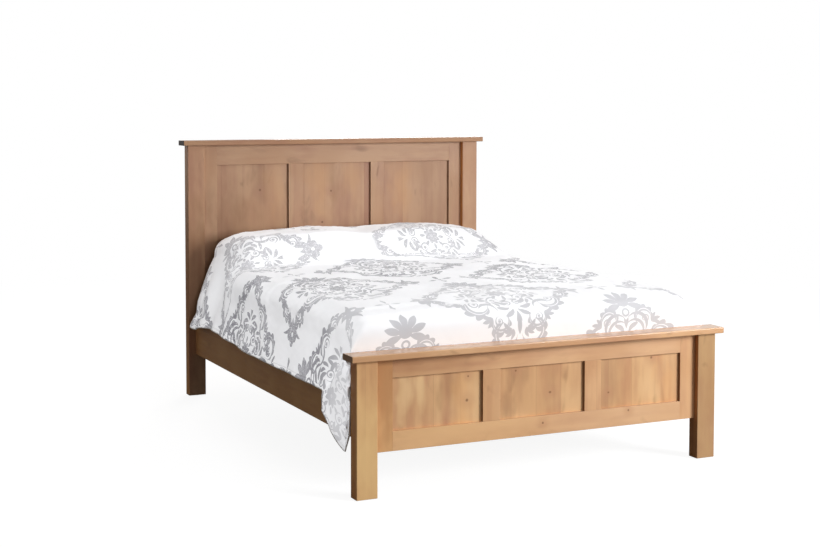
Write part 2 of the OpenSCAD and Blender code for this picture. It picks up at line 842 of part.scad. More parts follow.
// How near a place lies to the headboard, from 0 to 1
function near_head(y) = smooth((y - head_front_y + head_fall_l) / head_fall_l);

// How high the hump stands, from 0 to 1; it falls a little towards the headboard
function rise(m, y) = over_pillows(m, y) * (1 - head_fall_share * near_head(y));

// How far a foot tail has dropped at y, from 0 to 1 at its tip
function tail(y) =
    let (corner_y = tail_start_y - tail_corner_l / 2)
    TAIL_CORNER_SHARE * smooth((tail_start_y - y) / tail_corner_l)
    + (1 - TAIL_CORNER_SHARE) * clamp((corner_y - y) / (corner_y - tail_tip_y))
    - TAIL_BACK_SHARE * clamp((tail_tip_y - y) / (tail_tip_y - end_y));

function hem_height(y) = hem_z + hem_head_up * smooth((y - hem_rise_y) / hem_rise_l) - tail_drop * tail(y);

function slope_power(m) = lerp(MIDDLE_POWER, CORNER_POWER, smooth((m - CORNER_FIRST_COL) / CORNER_COLS));

function side_power(lie, y) = lerp(SIDE_POWER, lerp(HUMP_SIDE_POWER, HEAD_SIDE_POWER, near_head(y)), lie);

// Point of the outer skin; m counts columns from the middle and r rows from the head
function outer_point(m, r, side) =
    let (
        slope_step = clamp((r - FLAT_ROWS) / SLOPE_ROWS),
        tuck_step = clamp((r - FLAT_ROWS - SLOPE_ROWS) / TUCK_ROWS),
        across = clamp((m - TOP_COLS) / SHOULDER_COLS),
        drop = clamp((m - TOP_COLS - SHOULDER_COLS) / SIDE_COLS),
        row_y = r <= FLAT_ROWS ? lerp(comforter_head_y, slope_y, r / FLAT_ROWS)
            : lerp(slope_y, tuck_y, pow(sin(90 * slope_step), 2 / MIDDLE_POWER)),
        y = row_y - (tuck_y - end_y) * lerp(clamp(2 * tuck_step - 1), tuck_step, drop) * across,
        up = rise(m, y),
        lie = over_pillows(m, y),
        section = lerp(lerp(FLAT_SECTION, FOOT_SECTION, pow(slope_step, 3)), HUMP_SECTION, lie),
        half_w = section[0],
        round_w = section[1],
        round_h = section[2],
        level = comforter_top + hump_rise * up,
        slope_left = pow(cos(90 * slope_step), 2 / slope_power(m)),
        edge_z = level - (level - foot_h) * (1 - slope_left) - tuck_depth * tuck_step,
        t = clamp(m / TOP_COLS),
        crown_h = lerp(comforter_crown, hump_crown, up) * pow(cos(90 * slope_step), 0.5),
        dip = hump_dip * up * exp(-pow(t * half_w / dip_w, 2)),
        top_z = edge_z + crown_h * (1 - pow(t, lerp(CROWN_POWER, HUMP_CROWN_POWER, up))) - dip,
        turn_angle = 90 * across,
        hem_x = rail_outer_x + hem_out,
        fold = fold_depth * sin(360 * fold_count * (y - foot_back_y) / rail_l) * drop,
        x = m <= TOP_COLS ? t * half_w
            : drop > 0 ? lerp(half_w + round_w, hem_x, pow(drop, side_power(lie, y))) + fold
            : half_w + round_w * sin(turn_angle),
        z = m <= TOP_COLS ? top_z
            : drop > 0 ? lerp(edge_z - round_h, hem_height(y), drop)
            : edge_z - round_h * (1 - cos(turn_angle))
    )
    [side * x, y, z];

function comforter_at(c, r) = outer_point(abs(c - HALF_COLS), r, c < HALF_COLS ? -1 : 1);

function unit(v) = v / max(norm(v), 0.001);

// Outward normal of the outer skin, from the neighbouring grid points
function comforter_normal(c, r) =
    let (
        across = comforter_at(min(c + 1, 2 * HALF_COLS), r) - comforter_at(max(c - 1, 0), r),
        along = comforter_at(c, min(r + 1, ROWS)) - comforter_at(c, max(r - 1, 0))
    )
    unit(cross(along, across));

function comforter_thickness(c, r) =
    let (
        m = abs(c - HALF_COLS),
        p = comforter_at(c, r),
        side_share = smooth((m - TOP_COLS) / SHOULDER_COLS),
        foot_share = smooth((r - FLAT_ROWS - 1) / SLOPE_ROWS),
        thick = p[2] - mattress_top - soft_gap
    )
    lerp(min(thick, comforter_t + comforter_crown), comforter_edge_t, max(side_share, foot_share));

// Point of the inner skin; it never comes nearer to the foot cap than the outer one
function inner_point(c, r) =
    let (
        outer = comforter_at(c, r),
        up = rise(abs(c - HALF_COLS), outer[1]),
        t = lerp(comforter_thickness(c, r), comforter_edge_t, smooth(3 * up)),
        inner = outer - t * comforter_normal(c, r)
    )
    [inner[0], max(inner[1], min(outer[1], tuck_y)), inner[2]];

module comforter() {
    cols = 2 * HALF_COLS;
    n = (cols + 1) * (ROWS + 1);
    outer = [for (r = [0:ROWS]) for (c = [0:cols]) comforter_at(c, r)];
    inner = [for (r = [0:ROWS]) for (c = [0:cols]) inner_point(c, r)];
    function at(c, r) = r * (cols + 1) + c;
    // Each cell is split along the diagonal that rises towards the middle of the bed
    function split(q, c) = c < HALF_COLS
        ? [[q[0], q[1], q[2]], [q[0], q[2], q[3]]]
        : [[q[0], q[1], q[3]], [q[1], q[2], q[3]]];
    skins = [
        for (r = [0:ROWS - 1]) for (c = [0:cols - 1])
            for (f = split([at(c, r), at(c + 1, r), at(c + 1, r + 1), at(c, r + 1)], c))
                each [f, [n + f[0], n + f[2], n + f[1]]]
    ];
    head_and_foot = [
        for (c = [0:cols - 1]) for (f = [
            [at(c, 0), n + at(c + 1, 0), at(c + 1, 0)],
            [at(c, 0), n + at(c, 0), n + at(c + 1, 0)],
            [at(c, ROWS), at(c + 1, ROWS), n + at(c + 1, ROWS)],
            [at(c, ROWS), n + at(c + 1, ROWS), n + at(c, ROWS)]
        ]) f
    ];
    hems = [
        for (r = [0:ROWS - 1]) for (f = [
            [at(0, r), at(0, r + 1), n + at(0, r + 1)],
            [at(0, r), n + at(0, r + 1), n + at(0, r)],
            [at(cols, r), n + at(cols, r + 1), at(cols, r + 1)],
            [at(cols, r), n + at(cols, r), n + at(cols, r + 1)]
        ]) f
    ];
    color("white")
        polyhedron(concat(outer, inner), concat(skins, head_and_foot, hems));
}

module rail_hook_plates() color("silver") at_rail_ends() hook_plate();
module post_slot_plates() color("silver") at_rail_ends() slot_plate();
module plate_screws() color("gray") at_rail_ends() plate_screw_pair();
module cleat_screws() color("gray") for (s = SIDES) cleat_screw_set(s);
module slat_screws() color("gray") slat_screw_set();
module leg_screws() color("gray") leg_screw_set();

head_post(-1);  // head_post_left
head_post(1);  // head_post_right
head_cap();
head_top_rail();
head_bottom_rail();
head_stile(-1);  // head_stile_left
head_stile(1);  // head_stile_right
head_mullion(-1);  // head_mullion_left
head_mullion(1);  // head_mullion_right
head_panel(-1);  // head_panel_left
head_panel(0);  // head_panel_middle
head_panel(1);  // head_panel_right
head_cap_dowels();
foot_post(-1);  // foot_post_left
foot_post(1);  // foot_post_right
foot_cap();
foot_top_rail();
foot_bottom_rail();
foot_stile(-1);  // foot_stile_left
foot_stile(1);  // foot_stile_right
foot_mullion(-1);  // foot_mullion_left
foot_mullion(1);  // foot_mullion_right
foot_panel(-1);  // foot_panel_left
foot_panel(0);  // foot_panel_middle
foot_panel(1);  // foot_panel_right
foot_cap_dowels();
side_rail(-1);  // side_rail_left
side_rail(1);  // side_rail_right
cleat(-1);  // cleat_left
cleat(1);  // cleat_right
rail_hook_plates();
post_slot_plates();
plate_screws();
cleat_screws();
slat_screws();
leg_screws();
for (i = [0:slat_count - 1])
    slat(i);
for (k = [0:2])
    centre_leg(LEG_SLATS[k]);
for (k = [0:2])
    levelling_foot(LEG_SLATS[k]);
leg_inserts();
post_glides();
foundation();
mattress();
pillow(-1);  // pillow_left
pillow(1);  // pillow_right
comforter();
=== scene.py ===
# Panel bed of satin-lacquered boards, made up with a mattress, two pillows and a printed comforter.
# Lengths are in metres. X runs across the bed, Y towards the headboard and Z up from the floor.
import math

import bmesh
import bpy
import numpy as np
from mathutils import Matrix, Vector


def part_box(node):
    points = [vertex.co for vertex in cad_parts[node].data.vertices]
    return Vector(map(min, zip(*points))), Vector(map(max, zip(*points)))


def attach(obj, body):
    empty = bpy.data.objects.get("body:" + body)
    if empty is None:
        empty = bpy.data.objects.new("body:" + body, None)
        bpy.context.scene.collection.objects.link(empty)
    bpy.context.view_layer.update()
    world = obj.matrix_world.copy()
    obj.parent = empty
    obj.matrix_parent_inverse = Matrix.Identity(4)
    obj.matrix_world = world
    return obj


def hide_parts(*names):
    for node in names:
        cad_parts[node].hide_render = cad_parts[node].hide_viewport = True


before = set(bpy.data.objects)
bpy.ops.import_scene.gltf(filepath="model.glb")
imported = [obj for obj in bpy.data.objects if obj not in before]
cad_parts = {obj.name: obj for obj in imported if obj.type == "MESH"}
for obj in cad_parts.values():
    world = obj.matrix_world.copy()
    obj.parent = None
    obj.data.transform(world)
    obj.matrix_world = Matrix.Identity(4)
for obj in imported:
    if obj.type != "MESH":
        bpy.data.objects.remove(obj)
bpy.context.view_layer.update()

BED = "bed"
X, Y, Z = 0, 1, 2


# Colours

def srgb(red, green, blue):
    """A screen colour from 0 to 255 as linear values with alpha."""
    def linear(c):
        c = c / 255
        return c / 12.92 if c <= 0.04045 else ((c + 0.055) / 1.055) ** 2.4
    return (linear(red), linear(green), linear(blue), 1.0)


# Node trees

class Signal:
    """Value that varies over a surface, held as a socket of a node tree, with plain arithmetic."""

    def __init__(self, tree, socket):
        self.tree, self.socket = tree, socket

    def of(self, operation, *others, clamp=False):
        return self.tree.math(operation, self, *others, clamp=clamp)

    def __add__(self, other):
        return self.of("ADD", other)

    def __sub__(self, other):
        return self.of("SUBTRACT", other)

    def __rsub__(self, other):
        return self.tree.math("SUBTRACT", other, self)

    def __mul__(self, other):
        return self.of("MULTIPLY", other)

    def __truediv__(self, other):
        return self.of("DIVIDE", other)

    def __abs__(self):
        return self.of("ABSOLUTE")


def least(first, *rest):
    for value in rest:
        first = first.of("MINIMUM", value)
    return first


def most(first, *rest):
    for value in rest:
        first = first.of("MAXIMUM", value)
    return first


class Tree:
    """Node tree of a new material or world, with a short call for each kind of node that is used often."""

    def __init__(self, name, home="materials"):
        self.owner = getattr(bpy.data, home).new(name)
        self.owner.use_nodes = True
        self.tree = self.owner.node_tree
        self.tree.nodes.clear()

    def node(self, kind, inputs=(), **settings):
        """Adds a node. inputs pairs its sockets, by number or name, with signals or plain values."""
        made = self.tree.nodes.new(kind)
        for key, value in settings.items():
            setattr(made, key, value)
        for key, value in dict(inputs).items():
            if isinstance(value, Signal):
                self.tree.links.new(value.socket, made.inputs[key])
            else:
                made.inputs[key].default_value = value
        return made

    def value(self, kind, inputs=(), out=0, **settings):
        """Adds a node and returns one of its outputs."""
        return Signal(self, self.node(kind, inputs, **settings).outputs[out])

    def values(self, kind, inputs=(), **settings):
        """Adds a node and returns all its outputs."""
        return [Signal(self, out) for out in self.node(kind, inputs, **settings).outputs]

    def math(self, operation, *values, clamp=False):
        return self.value("ShaderNodeMath", enumerate(values), operation=operation, use_clamp=clamp)

    def vector(self, operation, *values):
        out = "Value" if operation in ("LENGTH", "DOT_PRODUCT") else "Vector"
        return self.value("ShaderNodeVectorMath", enumerate(values), out, operation=operation)

    def fade(self, value, low, high, to_low=0.0, to_high=1.0):
        """Smooth change from to_low to to_high as value runs from low to high."""
        ends = {"From Min": low, "From Max": high, "To Min": to_low, "To Max": to_high}
        return self.value("ShaderNodeMapRange", {"Value": value, **ends}, interpolation_type="SMOOTHSTEP")

    def blend(self, share, first, second, mode="MIX"):
        return self.value("ShaderNodeMix", {0: share, 6: first, 7: second}, 2, data_type="RGBA",
                          blend_type=mode, clamp_factor=True)

    def parts(self, vector):
        return self.values("ShaderNodeSeparateXYZ", {0: vector})

    def places(self):
        """Object coordinates and their three parts."""
        point = self.value("ShaderNodeTexCoord", out="Object")
        return point, self.parts(point)

    def point(self, *parts):
        return self.value("ShaderNodeCombineXYZ", enumerate(parts))

    def noise(self, point, scale, detail=2.0, roughness=0.5, distortion=0.0):
        return self.value("ShaderNodeTexNoise", {"Vector": point, "Scale": scale, "Detail": detail,
                                                 "Roughness": roughness, "Distortion": distortion})

    def stretched(self, point, factors, shift=(0, 0, 0)):
        return self.value("ShaderNodeMapping", {"Vector": point, "Scale": factors, "Location": shift})

    def bump(self, height, distance, strength, normal=None):
        below = {} if normal is None else {"Normal": normal}
        return self.value("ShaderNodeBump", {"Height": height, "Distance": distance, "Strength": strength,
                                             **below})

    def finish(self, **inputs):
        """Ends the tree in one principled surface; keys are its socket names with _ for a space."""
        named = {key.replace("_", " "): value for key, value in inputs.items()}
        surface = self.value("ShaderNodeBsdfPrincipled", named)
        self.node("ShaderNodeOutputMaterial", {0: surface}).is_active_output = True
        return self.owner


# Wood

HONEY = srgb(220, 174, 130)
AMBER = srgb(204, 154, 109)
ROSE = srgb(192, 139, 106)
UMBER = srgb(122, 82, 52)
END_GRAIN = srgb(74, 46, 28)

# A tint multiplies a finished wood colour, and this one leaves it as it is
PLAIN = (1.0, 1.0, 1.0)

# How far the figure shrinks along the grain, so that it looks drawn out, and the width of a glue line
ALONG_GRAIN = 0.11
GLUE_LINE = 0.0009


def wood(name, grain, boards, board_w, shift, pale=HONEY, deep=ROSE, tone=PLAIN, sides=PLAIN, knots=(),
         patches=(), rough=0.38, gloss=0.22):
    """Satin wood whose grain runs along one axis, edge-glued from boards that lie side by side along another.
    sides is painted shade: it tints the faces that look along X. On faces that look along Y, knots are (x, z,
    radius) and patches
    are (x, z, radius, colour, strength): other staining, and painted light and shade low on the headboard's
    left and on the footboard's rails."""
    t = Tree(name)
    point, parts = t.places()
    along = [1.0, 1.0, 1.0]
    along[grain] = ALONG_GRAIN
    lengthwise = t.stretched(point, along, shift)

    # Each board has a tone of its own and its own stretch of grain
    place = (parts[boards] + shift[0] + t.noise(lengthwise, 1.3, 0.0) * 0.01) / board_w
    board_tone, board_shift = t.values("ShaderNodeTexWhiteNoise", {"W": place.of("FLOOR")},
                                       noise_dimensions="1D")
    moved = t.vector("ADD", lengthwise, t.vector("MULTIPLY", board_shift, (7.0, 7.0, 7.0)))

    # Broad figure, growth bands, pores, blotches and streaks
    cloud = t.noise(moved, 6.5, 3.0, 0.55, 0.6)
    bands = t.value("ShaderNodeTexWave", {"Vector": moved, "Scale": 7.0, "Distortion": 11.0, "Detail": 2.0,
                                          "Detail Scale": 1.2}, "Fac", bands_direction="XYZ"[boards])
    pores = t.noise(moved, 220.0, 2.0, 0.6)
    half_long = t.stretched(t.stretched(point, (1.0, 1.0, 1.0), shift), [max(a, 0.45) for a in along])
    blotch = t.noise(half_long, 9.0, 3.0, 0.55)
    streaks = t.noise(moved, 38.0, 2.0, 0.55)
    share = (t.fade(cloud, 0.3, 0.72, 0.0, 0.5) + (board_tone - 0.5) * 0.3 + (bands - 0.5) * 0.16
             + (pores - 0.5) * 0.14 + (blotch - 0.5) * 1.7 + (streaks - 0.5) * 0.7)
    colour = t.blend(share.of("ADD", 0.08, clamp=True), pale, deep)

    # Golden clouds, glue lines and smudges of stain
    elsewhere = t.stretched(point, (1.0, 1.0, 1.0), (shift[1], 3.0, 1.0))
    colour = t.blend(t.fade(t.noise(elsewhere, 3.1, 1.0), 0.42, 0.62, 0.0, 0.5), colour, AMBER)
    seam_line = t.fade(abs(place.of("FRACT") - 0.5), 0.5 - GLUE_LINE / board_w, 0.5, 0.0, 0.35)
    colour = t.blend(seam_line, colour, UMBER)
    smudge = t.fade(t.noise(half_long, 17.0, 2.0, 0.5, 0.5), 0.62, 0.82, 0.0, 0.34)
    colour = t.blend(smudge, colour, UMBER)

    def away_from(x, z, stretch=(1.0, 1.0, 1.0)):
        gap = t.vector("SUBTRACT", point, t.point(x, parts[Y], z))
        return t.vector("LENGTH", t.stretched(gap, stretch))

    drift = t.noise(half_long, 16.0, 2.0) - 0.5
    patch_stretch = [math.sqrt(a) * 1.4 for a in along]
    # Patches of other staining, and some of painted light and shade
    for x, z, radius, patch_colour, strength in patches:
        reach = away_from(x, z, patch_stretch) + drift * min(radius * 2.8, 0.22)
        colour = t.blend(t.fade(reach, radius * 1.1, 0.0, 0.0, strength), colour, patch_colour)
    for x, z, radius in knots:
        ragged = away_from(x, z) + (pores - 0.5) * radius
        colour = t.blend(t.fade(ragged, radius * 7.0, radius, 0.0, 0.35), colour, ROSE)
        colour = t.blend(t.fade(ragged, radius, radius * 0.4, 0.0, 0.7), colour, UMBER)

    # Arrises are painted a little paler: partly rubbed wear, partly a painted highlight
    round_normal = t.value("ShaderNodeBevel", {"Radius": 0.003}, samples=4)
    true_normal = t.value("ShaderNodeNewGeometry", out="Normal")
    turn = t.vector("DOT_PRODUCT", round_normal, true_normal)
    colour = t.blend(t.fade(turn, 0.995, 0.8, 0.0, 0.3), colour, pale)

    # End grain drinks the stain
    facing = [abs(part) for part in t.parts(true_normal)]
    colour = t.blend(t.fade(facing[grain], 0.7, 0.95, 0.0, 0.6), colour, END_GRAIN)
    # tone multiplies the whole colour; on the headboard and the side rails it is painted shade
    if tone != PLAIN:
        colour = t.blend(1.0, colour, (*tone, 1.0), mode="MULTIPLY")
    # Painted shade: sides tints the faces that look along X darker
    if sides != PLAIN:
        colour = t.blend(t.fade(facing[X], 0.7, 0.95), colour, (*sides, 1.0), mode="MULTIPLY")

    relief = pores * 0.6 + bands * 0.4 - seam_line * 1.5
    normal = t.bump(relief, 0.00035, 0.5, round_normal)
    roughness = t.fade(pores, 0.3, 0.7, rough - 0.04, rough + 0.05)
    return t.finish(Base_Color=colour, Roughness=roughness, Normal=normal, Specular_IOR_Level=gloss)


def lumber(name, grain, shift):
    """Unfinished pale softwood for what the bed hides: dowels, cleats, slats and legs."""
    return wood(name, grain, (grain + 1) % 3, 0.4, shift, srgb(222, 196, 156), srgb(206, 172, 126))


# Metal and plastic

GRIME, DUST = srgb(96, 92, 88), srgb(120, 116, 110)


def steel(name, colour, rough, speckle):
    t = Tree(name)
    point, _ = t.places()
    grime = t.noise(point, 90.0, 3.0)
    brushed = t.noise(t.stretched(point, (1.0, 1.0, 0.05)), 900.0, 1.0)
    shade = t.blend(t.fade(grime, 0.35, 0.75, 0.0, speckle), colour, GRIME)
    return t.finish(Base_Color=shade, Metallic=1.0, Roughness=(brushed - 0.5) * 0.2 + rough,
                    Normal=t.bump(brushed, 0.0001, 0.3))


def plastic(name, colour):
    t = Tree(name)
    point, _ = t.places()
    grain = t.noise(point, 1400.0, 1.0)
    shade = t.blend(t.fade(t.noise(point, 60.0, 3.0), 0.5, 0.8, 0.0, 0.35), colour, DUST)
    return t.finish(Base_Color=shade, Roughness=t.fade(grain, 0.3, 0.7, 0.42, 0.6),
                    Normal=t.bump(grain, 0.0001, 0.4))


# Fabric

def fabric(name, colour, shade, thread, quilt=None):
    """Plain-woven cloth; thread is the length of the weave's repeat, and quilt the side of sewn diamonds."""
    t = Tree(name)
    point, (x, y, z) = t.places()
    warp, weft = (((part + z) * (2 * math.pi / thread)).of("SINE") for part in (x, y))
    slub = t.noise(t.stretched(point, (1.0, 0.12, 1.0)), 380.0, 2.0)
    soil = t.fade(t.noise(point, 4.0, 3.0), 0.4, 0.8, 0.0, 0.35)
    tone = t.blend(slub * 0.3 + soil, colour, shade)
    normal = t.bump(warp * weft * 0.35 + slub, 0.0003, 0.5)
    if quilt:
        lines = [abs((slant * (math.pi / quilt)).of("SINE")) for slant in (x + y, x - y)]
        sewn = least(*lines)
        tone = t.blend(t.fade(sewn, 0.06, 0.0, 0.0, 0.25), tone, shade)
        normal = t.bump(t.fade(sewn, 0.0, 0.5), 0.006, 0.8, normal)
    return t.finish(Base_Color=tone, Roughness=0.88, Normal=normal, Sheen_Weight=0.25,
                    Sheen_Roughness=0.45, Specular_IOR_Level=0.2)


# The comforter's print: a damask of foliage medallions, drawn from a few kinds of stroke in centimetres. Each
# stroke gives a signal that is below 0 on the print, and the least of them all is the print.

def hypot(x, y):
    return (x * x + y * y).of("SQRT")


def wrapped(value, period):
    return value.of("WRAP", period / 2, -period / 2)


def turned(x, y, at, degrees):
    """Coordinates from a place, in axes turned by an angle."""
    x, y = x - at[0], y - at[1]
    if not degrees:
        return x, y
    c, s = math.cos(math.radians(degrees)), math.sin(math.radians(degrees))
    return x * c + y * s, y * c - x * s


def fan(x, y, at, heading, spread, count, start, end, width, twist=0.0):
    """Leaves that spread from a place like fingers, pointed at their roots; twist bends them sideways."""
    x, y = turned(x, y, at, heading)
    away, angle = hypot(x, y), y.of("ARCTAN2", x)
    s = (away - start) / (end - start)
    if twist:
        angle = angle - s * math.radians(twist)
    sector = math.radians(spread) / count
    own = wrapped(angle if count % 2 else angle + sector / 2, sector)
    leaf = abs(own * away) - s * (1.0 - s * s) * (1.3 * width)
    if spread == 360:
        return leaf
    return most(leaf, (abs(angle) - sector * count / 2) * away)


def plume(x, y, at, radius, heading, half_turn, width, teeth=0.0, lean=0.0):
    """Curved leaf along an arc, fullest to one side of its middle by lean; teeth notch its outer edge, and it
    has a vein then."""
    x, y = turned(x, y, at, heading)
    out, angle = hypot(x, y) - radius, y.of("ARCTAN2", x)
    share = angle / math.radians(half_turn)
    full = (1.0 - share * share) * (share * lean + 1.0).of("MAXIMUM", 0.2) * width
    if not teeth:
        return abs(out) - full * 0.5
    notch = abs((angle * teeth - out * 0.35 * math.copysign(1.0, lean)).of("SINE"))
    vein = full * 0.06 - abs(out - full * 0.12)
    return most(out - full * (notch * 0.6 + 0.4), out * -1.0 - full * 0.3, vein)


def scroll(x, y, at, size, start, hand, width):
    """Spiral that winds in from a start angle round a solid eye; hand is its sense of turning."""
    x, y = turned(x, y, at, start)
    away = hypot(x, y) + 0.01
    angle = (y * hand).of("ARCTAN2", x) / (2 * math.pi)
    wound = (away / size).of("LOGARITHM", math.e) + angle
    line = most(away * (wound.of("PINGPONG", 0.5) - width), away - size)
    return least(line, away - size * 0.24)


def disc(x, y, at, radius):
    return hypot(x - at[0], y - at[1]) - radius


def blossom(x, y, at, heading, size, lobes):
    """Round-petalled flower seen from above, with an open centre."""
    x, y = turned(x, y, at, heading)
    away = hypot(x, y)
    petals = abs((y.of("ARCTAN2", x) * (lobes / 2)).of("COSINE")) * 0.34 + 0.66
    return most(away - petals * size, size * 0.2 - away)


INK, INK_DEEP = srgb(159, 158, 164), srgb(139, 138, 145)
SEAM_FROM_EDGE = 0.014

# Half-width of the plain cloth in the middle of the pillow end, and its reach to the left beside the crease
PLAIN_HALF, PLAIN_LEFT = 0.105, 0.168

# Place of one medallion's centre on the flat cloth, from its middle line and from its head end. The print's
# rows run a little askew, and turn about a line beside the middle.
FIRST_CENTRE = (0.078, 1.875)
SKEW, SKEW_ABOUT = 0.065, 0.3

# Size of the lattice in centimetres
REPEAT_U, REPEAT_V = 102.0, 103.5


def heart(side, tall):
    """Fine foliage in the middle of a medallion, the same in all four quarters."""
    tall = tall * 0.84
    return least(
        fan(side, tall, (0, 0), 0, 360, 8, 0.4, 4.6, 2.4),
        fan(side, tall, (0, 0), 22.5, 360, 8, 3.8, 7.2, 1.5),
        scroll(side, tall, (6.5, 6.2), 2.7, 200, 1, 0.16),
        fan(side, tall, (6.5, 6.2), 42, 230, 6, 2.9, 6.4, 2.1, 30),
        scroll(side, tall, (11.0, 2.0), 2.1, 150, 1, 0.16),
        fan(side, tall, (12.0, 0.4), 12, 200, 5, 2.2, 7.4, 2.2, 32),
        scroll(side, tall, (2.3, 11.0), 2.1, 300, -1, 0.16),
        fan(side, tall, (0.6, 12.0), 78, 200, 5, 2.2, 7.6, 2.2, -32),
    )


def frame_side(side, tall):
    """One side of the leafy border between two corners of a medallion."""
    return least(
        plume(side, tall, (16.8, 13.4), 4.7, 68, 112, 3.0, 4.0, -0.6),
        scroll(side, tall, (17.6, 12.6), 2.6, 300, 1, 0.17),
        plume(side, tall, (13.0, 17.6), 4.4, 250, 80, 1.5, 0.0, 0.5),
        fan(side, tall, (12.6, 20.0), 60, 120, 3, 0.2, 4.8, 1.9, -35),
        plume(side, tall, (8.6, 22.6), 3.6, 112, 115, 2.4, 4.5, -0.6),
        scroll(side, tall, (9.2, 22.2), 2.1, 320, 1, 0.17),
        plume(side, tall, (25.4, 6.8), 3.6, 40, 115, 2.4, 4.5, -0.6),
        scroll(side, tall, (26.0, 6.2), 2.1, 280, 1, 0.17),
        fan(side, tall, (22.0, 9.6), 30, 120, 3, 0.2, 4.8, 1.9, -35),
        plume(side, tall, (29.6, 2.4), 3.0, 60, 100, 1.2, 0.0, -0.5),
    )


def crest(side, y):
    """Palmette over a ring, with long curled leaves below, at a medallion's upper corner."""
    return least(
        fan(side, y, (0, 30.2), 90, 250, 7, 1.4, 9.6, 3.2),
        disc(side, y, (0, 31.4), 3.0),
        most(disc(side, y, (0, 25.8), 2.0), 1.1 - hypot(side, y - 25.8)),
        plume(side, y, (4.8, 19.6), 5.4, 62, 92, 1.6, 0.0, -0.6),
        plume(side, y, (3.8, 17.4), 4.8, 64, 88, 1.3, 0.0, -0.6),
    )


def base(side, y):
    """Facing scrolls round a drop at a medallion's lower corner."""
    return least(
        plume(side, y, (5.9, -27.6), 4.9, -50, 125, 2.4, 5.0, 0.6),
        fan(side, y, (3.4, -25.6), -64, 150, 4, 0.3, 4.8, 1.7, 40),
        fan(side, y, (0, -19.6), -90, 40, 1, 0.0, 9.0, 2.0),
        fan(side, y, (0, -33.4), -90, 150, 3, 0.3, 5.4, 1.8),
    )


def flower(side, tall):
    """Blossom on two long stems at a medallion's side corner."""
    return least(
        blossom(side, tall, (35.4, 0.0), 0, 5.2, 5),
        plume(side, tall, (25.4, 9.6), 10.4, -50, 50, 1.7, 0.0, 0.6),
        fan(side, tall, (31.0, 1.4), 112, 70, 2, 0.0, 5.6, 1.9, 20),
    )


def sprig(x, y):
    """Four slim leaves that cross round a bud."""
    return least(
        fan(x / 0.8, y, (0, 0), 45, 360, 4, 1.2, 7.6, 2.0),
        hypot(x, y) - 0.8,
    )


def damask(u, v):
    """Below 0 inside the print: medallions in a half-drop lattice with sprigs between."""
    xa, ya = wrapped(u, REPEAT_U), wrapped(v, REPEAT_V)
    xb, yb = wrapped(u + REPEAT_U / 2, REPEAT_U), wrapped(v + REPEAT_V / 2, REPEAT_V)
    pick = (abs(xa) / REPEAT_U + abs(ya) / REPEAT_V).of("GREATER_THAN", 0.5)
    x = xa + (xb - xa) * pick
    y = ya + (yb - ya) * pick
    side, tall = abs(x), abs(y)
    return least(
        heart(side, tall), frame_side(side, tall), crest(side, y), base(side, y), flower(side, tall),
        sprig(side, REPEAT_V / 2 - tall), sprig(REPEAT_U / 2 - side, tall),
    )


def printed_cloth(name, colour, shade):
    """Woven cotton with the damask, by places on the flat cloth, and a sewn line beside its hem."""
    t = Tree(name)
    flat = t.value("ShaderNodeUVMap", uv_map="flat_cloth")
    across, along, _ = t.parts(flat)
    row = (SKEW_ABOUT - across) * SKEW + FIRST_CENTRE[1]
    figure = damask((across + FIRST_CENTRE[0]) * 100.0, (row - along) * 100.0)
    point, _ = t.places()
    cotton = t.noise(point, 420.0, 2.0)
    ragged = figure + (cotton - 0.5) * 0.12

    # Painted light: the print is painted paler at both ends, where light washes it out, and less so where it
    # hangs in shade
    washed_ends = least(t.fade(along, 0.35, 0.75, 0.66, 0.92), t.fade(along, 1.25, 1.90, 0.92, 0.58))
    hung = t.fade(abs(across), 0.70, 0.95, 0.0, t.fade(along, 1.75, 2.05, 1.0, -0.5))
    light_fade = washed_ends + hung * (1.0 - washed_ends)

    # The middle of the pillow end is left plain, wider to the left beside the crease
    to_left = t.fade(along, 0.26, 0.34, PLAIN_HALF, PLAIN_LEFT)
    beside = most(across - PLAIN_HALF, across * -1.0 - to_left)
    plain = most(t.fade(along, 0.40, 0.50), t.fade(beside, -0.015, 0.015))

    # Fine veins are left open in the broad leaves and petals, but not at the foot
    vein = t.fade(abs(t.noise(flat, 52.0, 1.0, 0.5, 1.6) - 0.5), 0.035, 0.015)
    broad = t.fade(figure, -0.2, -0.4) * t.fade(along, 1.55, 1.80, 0.8, 0.0)
    printed = t.fade(ragged, 0.05, -0.05) * (1.0 - vein * broad) * light_fade * plain

    soft = t.noise(point, 3.0, 3.0)
    tone = t.blend(cotton * 0.25 + t.fade(soft, 0.4, 0.8, 0.0, 0.3), colour, shade)
    tone = t.blend(printed, tone, t.blend(t.fade(soft, 0.3, 0.7), INK, INK_DEEP))

    from_side, from_end, _ = t.parts(t.value("ShaderNodeUVMap", uv_map="from_edge"))
    seam = t.fade(abs(least(from_side, from_end) - SEAM_FROM_EDGE), 0.0, 0.004)
    weave = cotton * 0.4 + t.noise(point, 1500.0, 1.0) * 0.6
    normal = t.bump(seam, 0.003, 0.7, t.bump(weave, 0.0003, 0.5))
    return t.finish(Base_Color=tone, Roughness=0.85, Normal=normal, Sheen_Weight=0.25, Sheen_Roughness=0.45,
                    Specular_IOR_Level=0.2)


# Knots in the panels and rails, as (x, z, radius)
FOOT_KNOTS = [(-0.60, 0.51, 0.006), (-0.34, 0.34, 0.008), (-0.335, 0.435, 0.005), (-0.12, 0.44, 0.006),
              (0.04, 0.34, 0.007), (0.32, 0.315, 0.006), (0.53, 0.445, 0.007)]
RAIL_KNOTS = [(0.0, 0.22, 0.006), (0.41, 0.235, 0.006)]
HEAD_KNOTS = [(-0.43, 1.045, 0.008), (-0.03, 1.03, 0.007), (-0.08, 0.865, 0.008)]
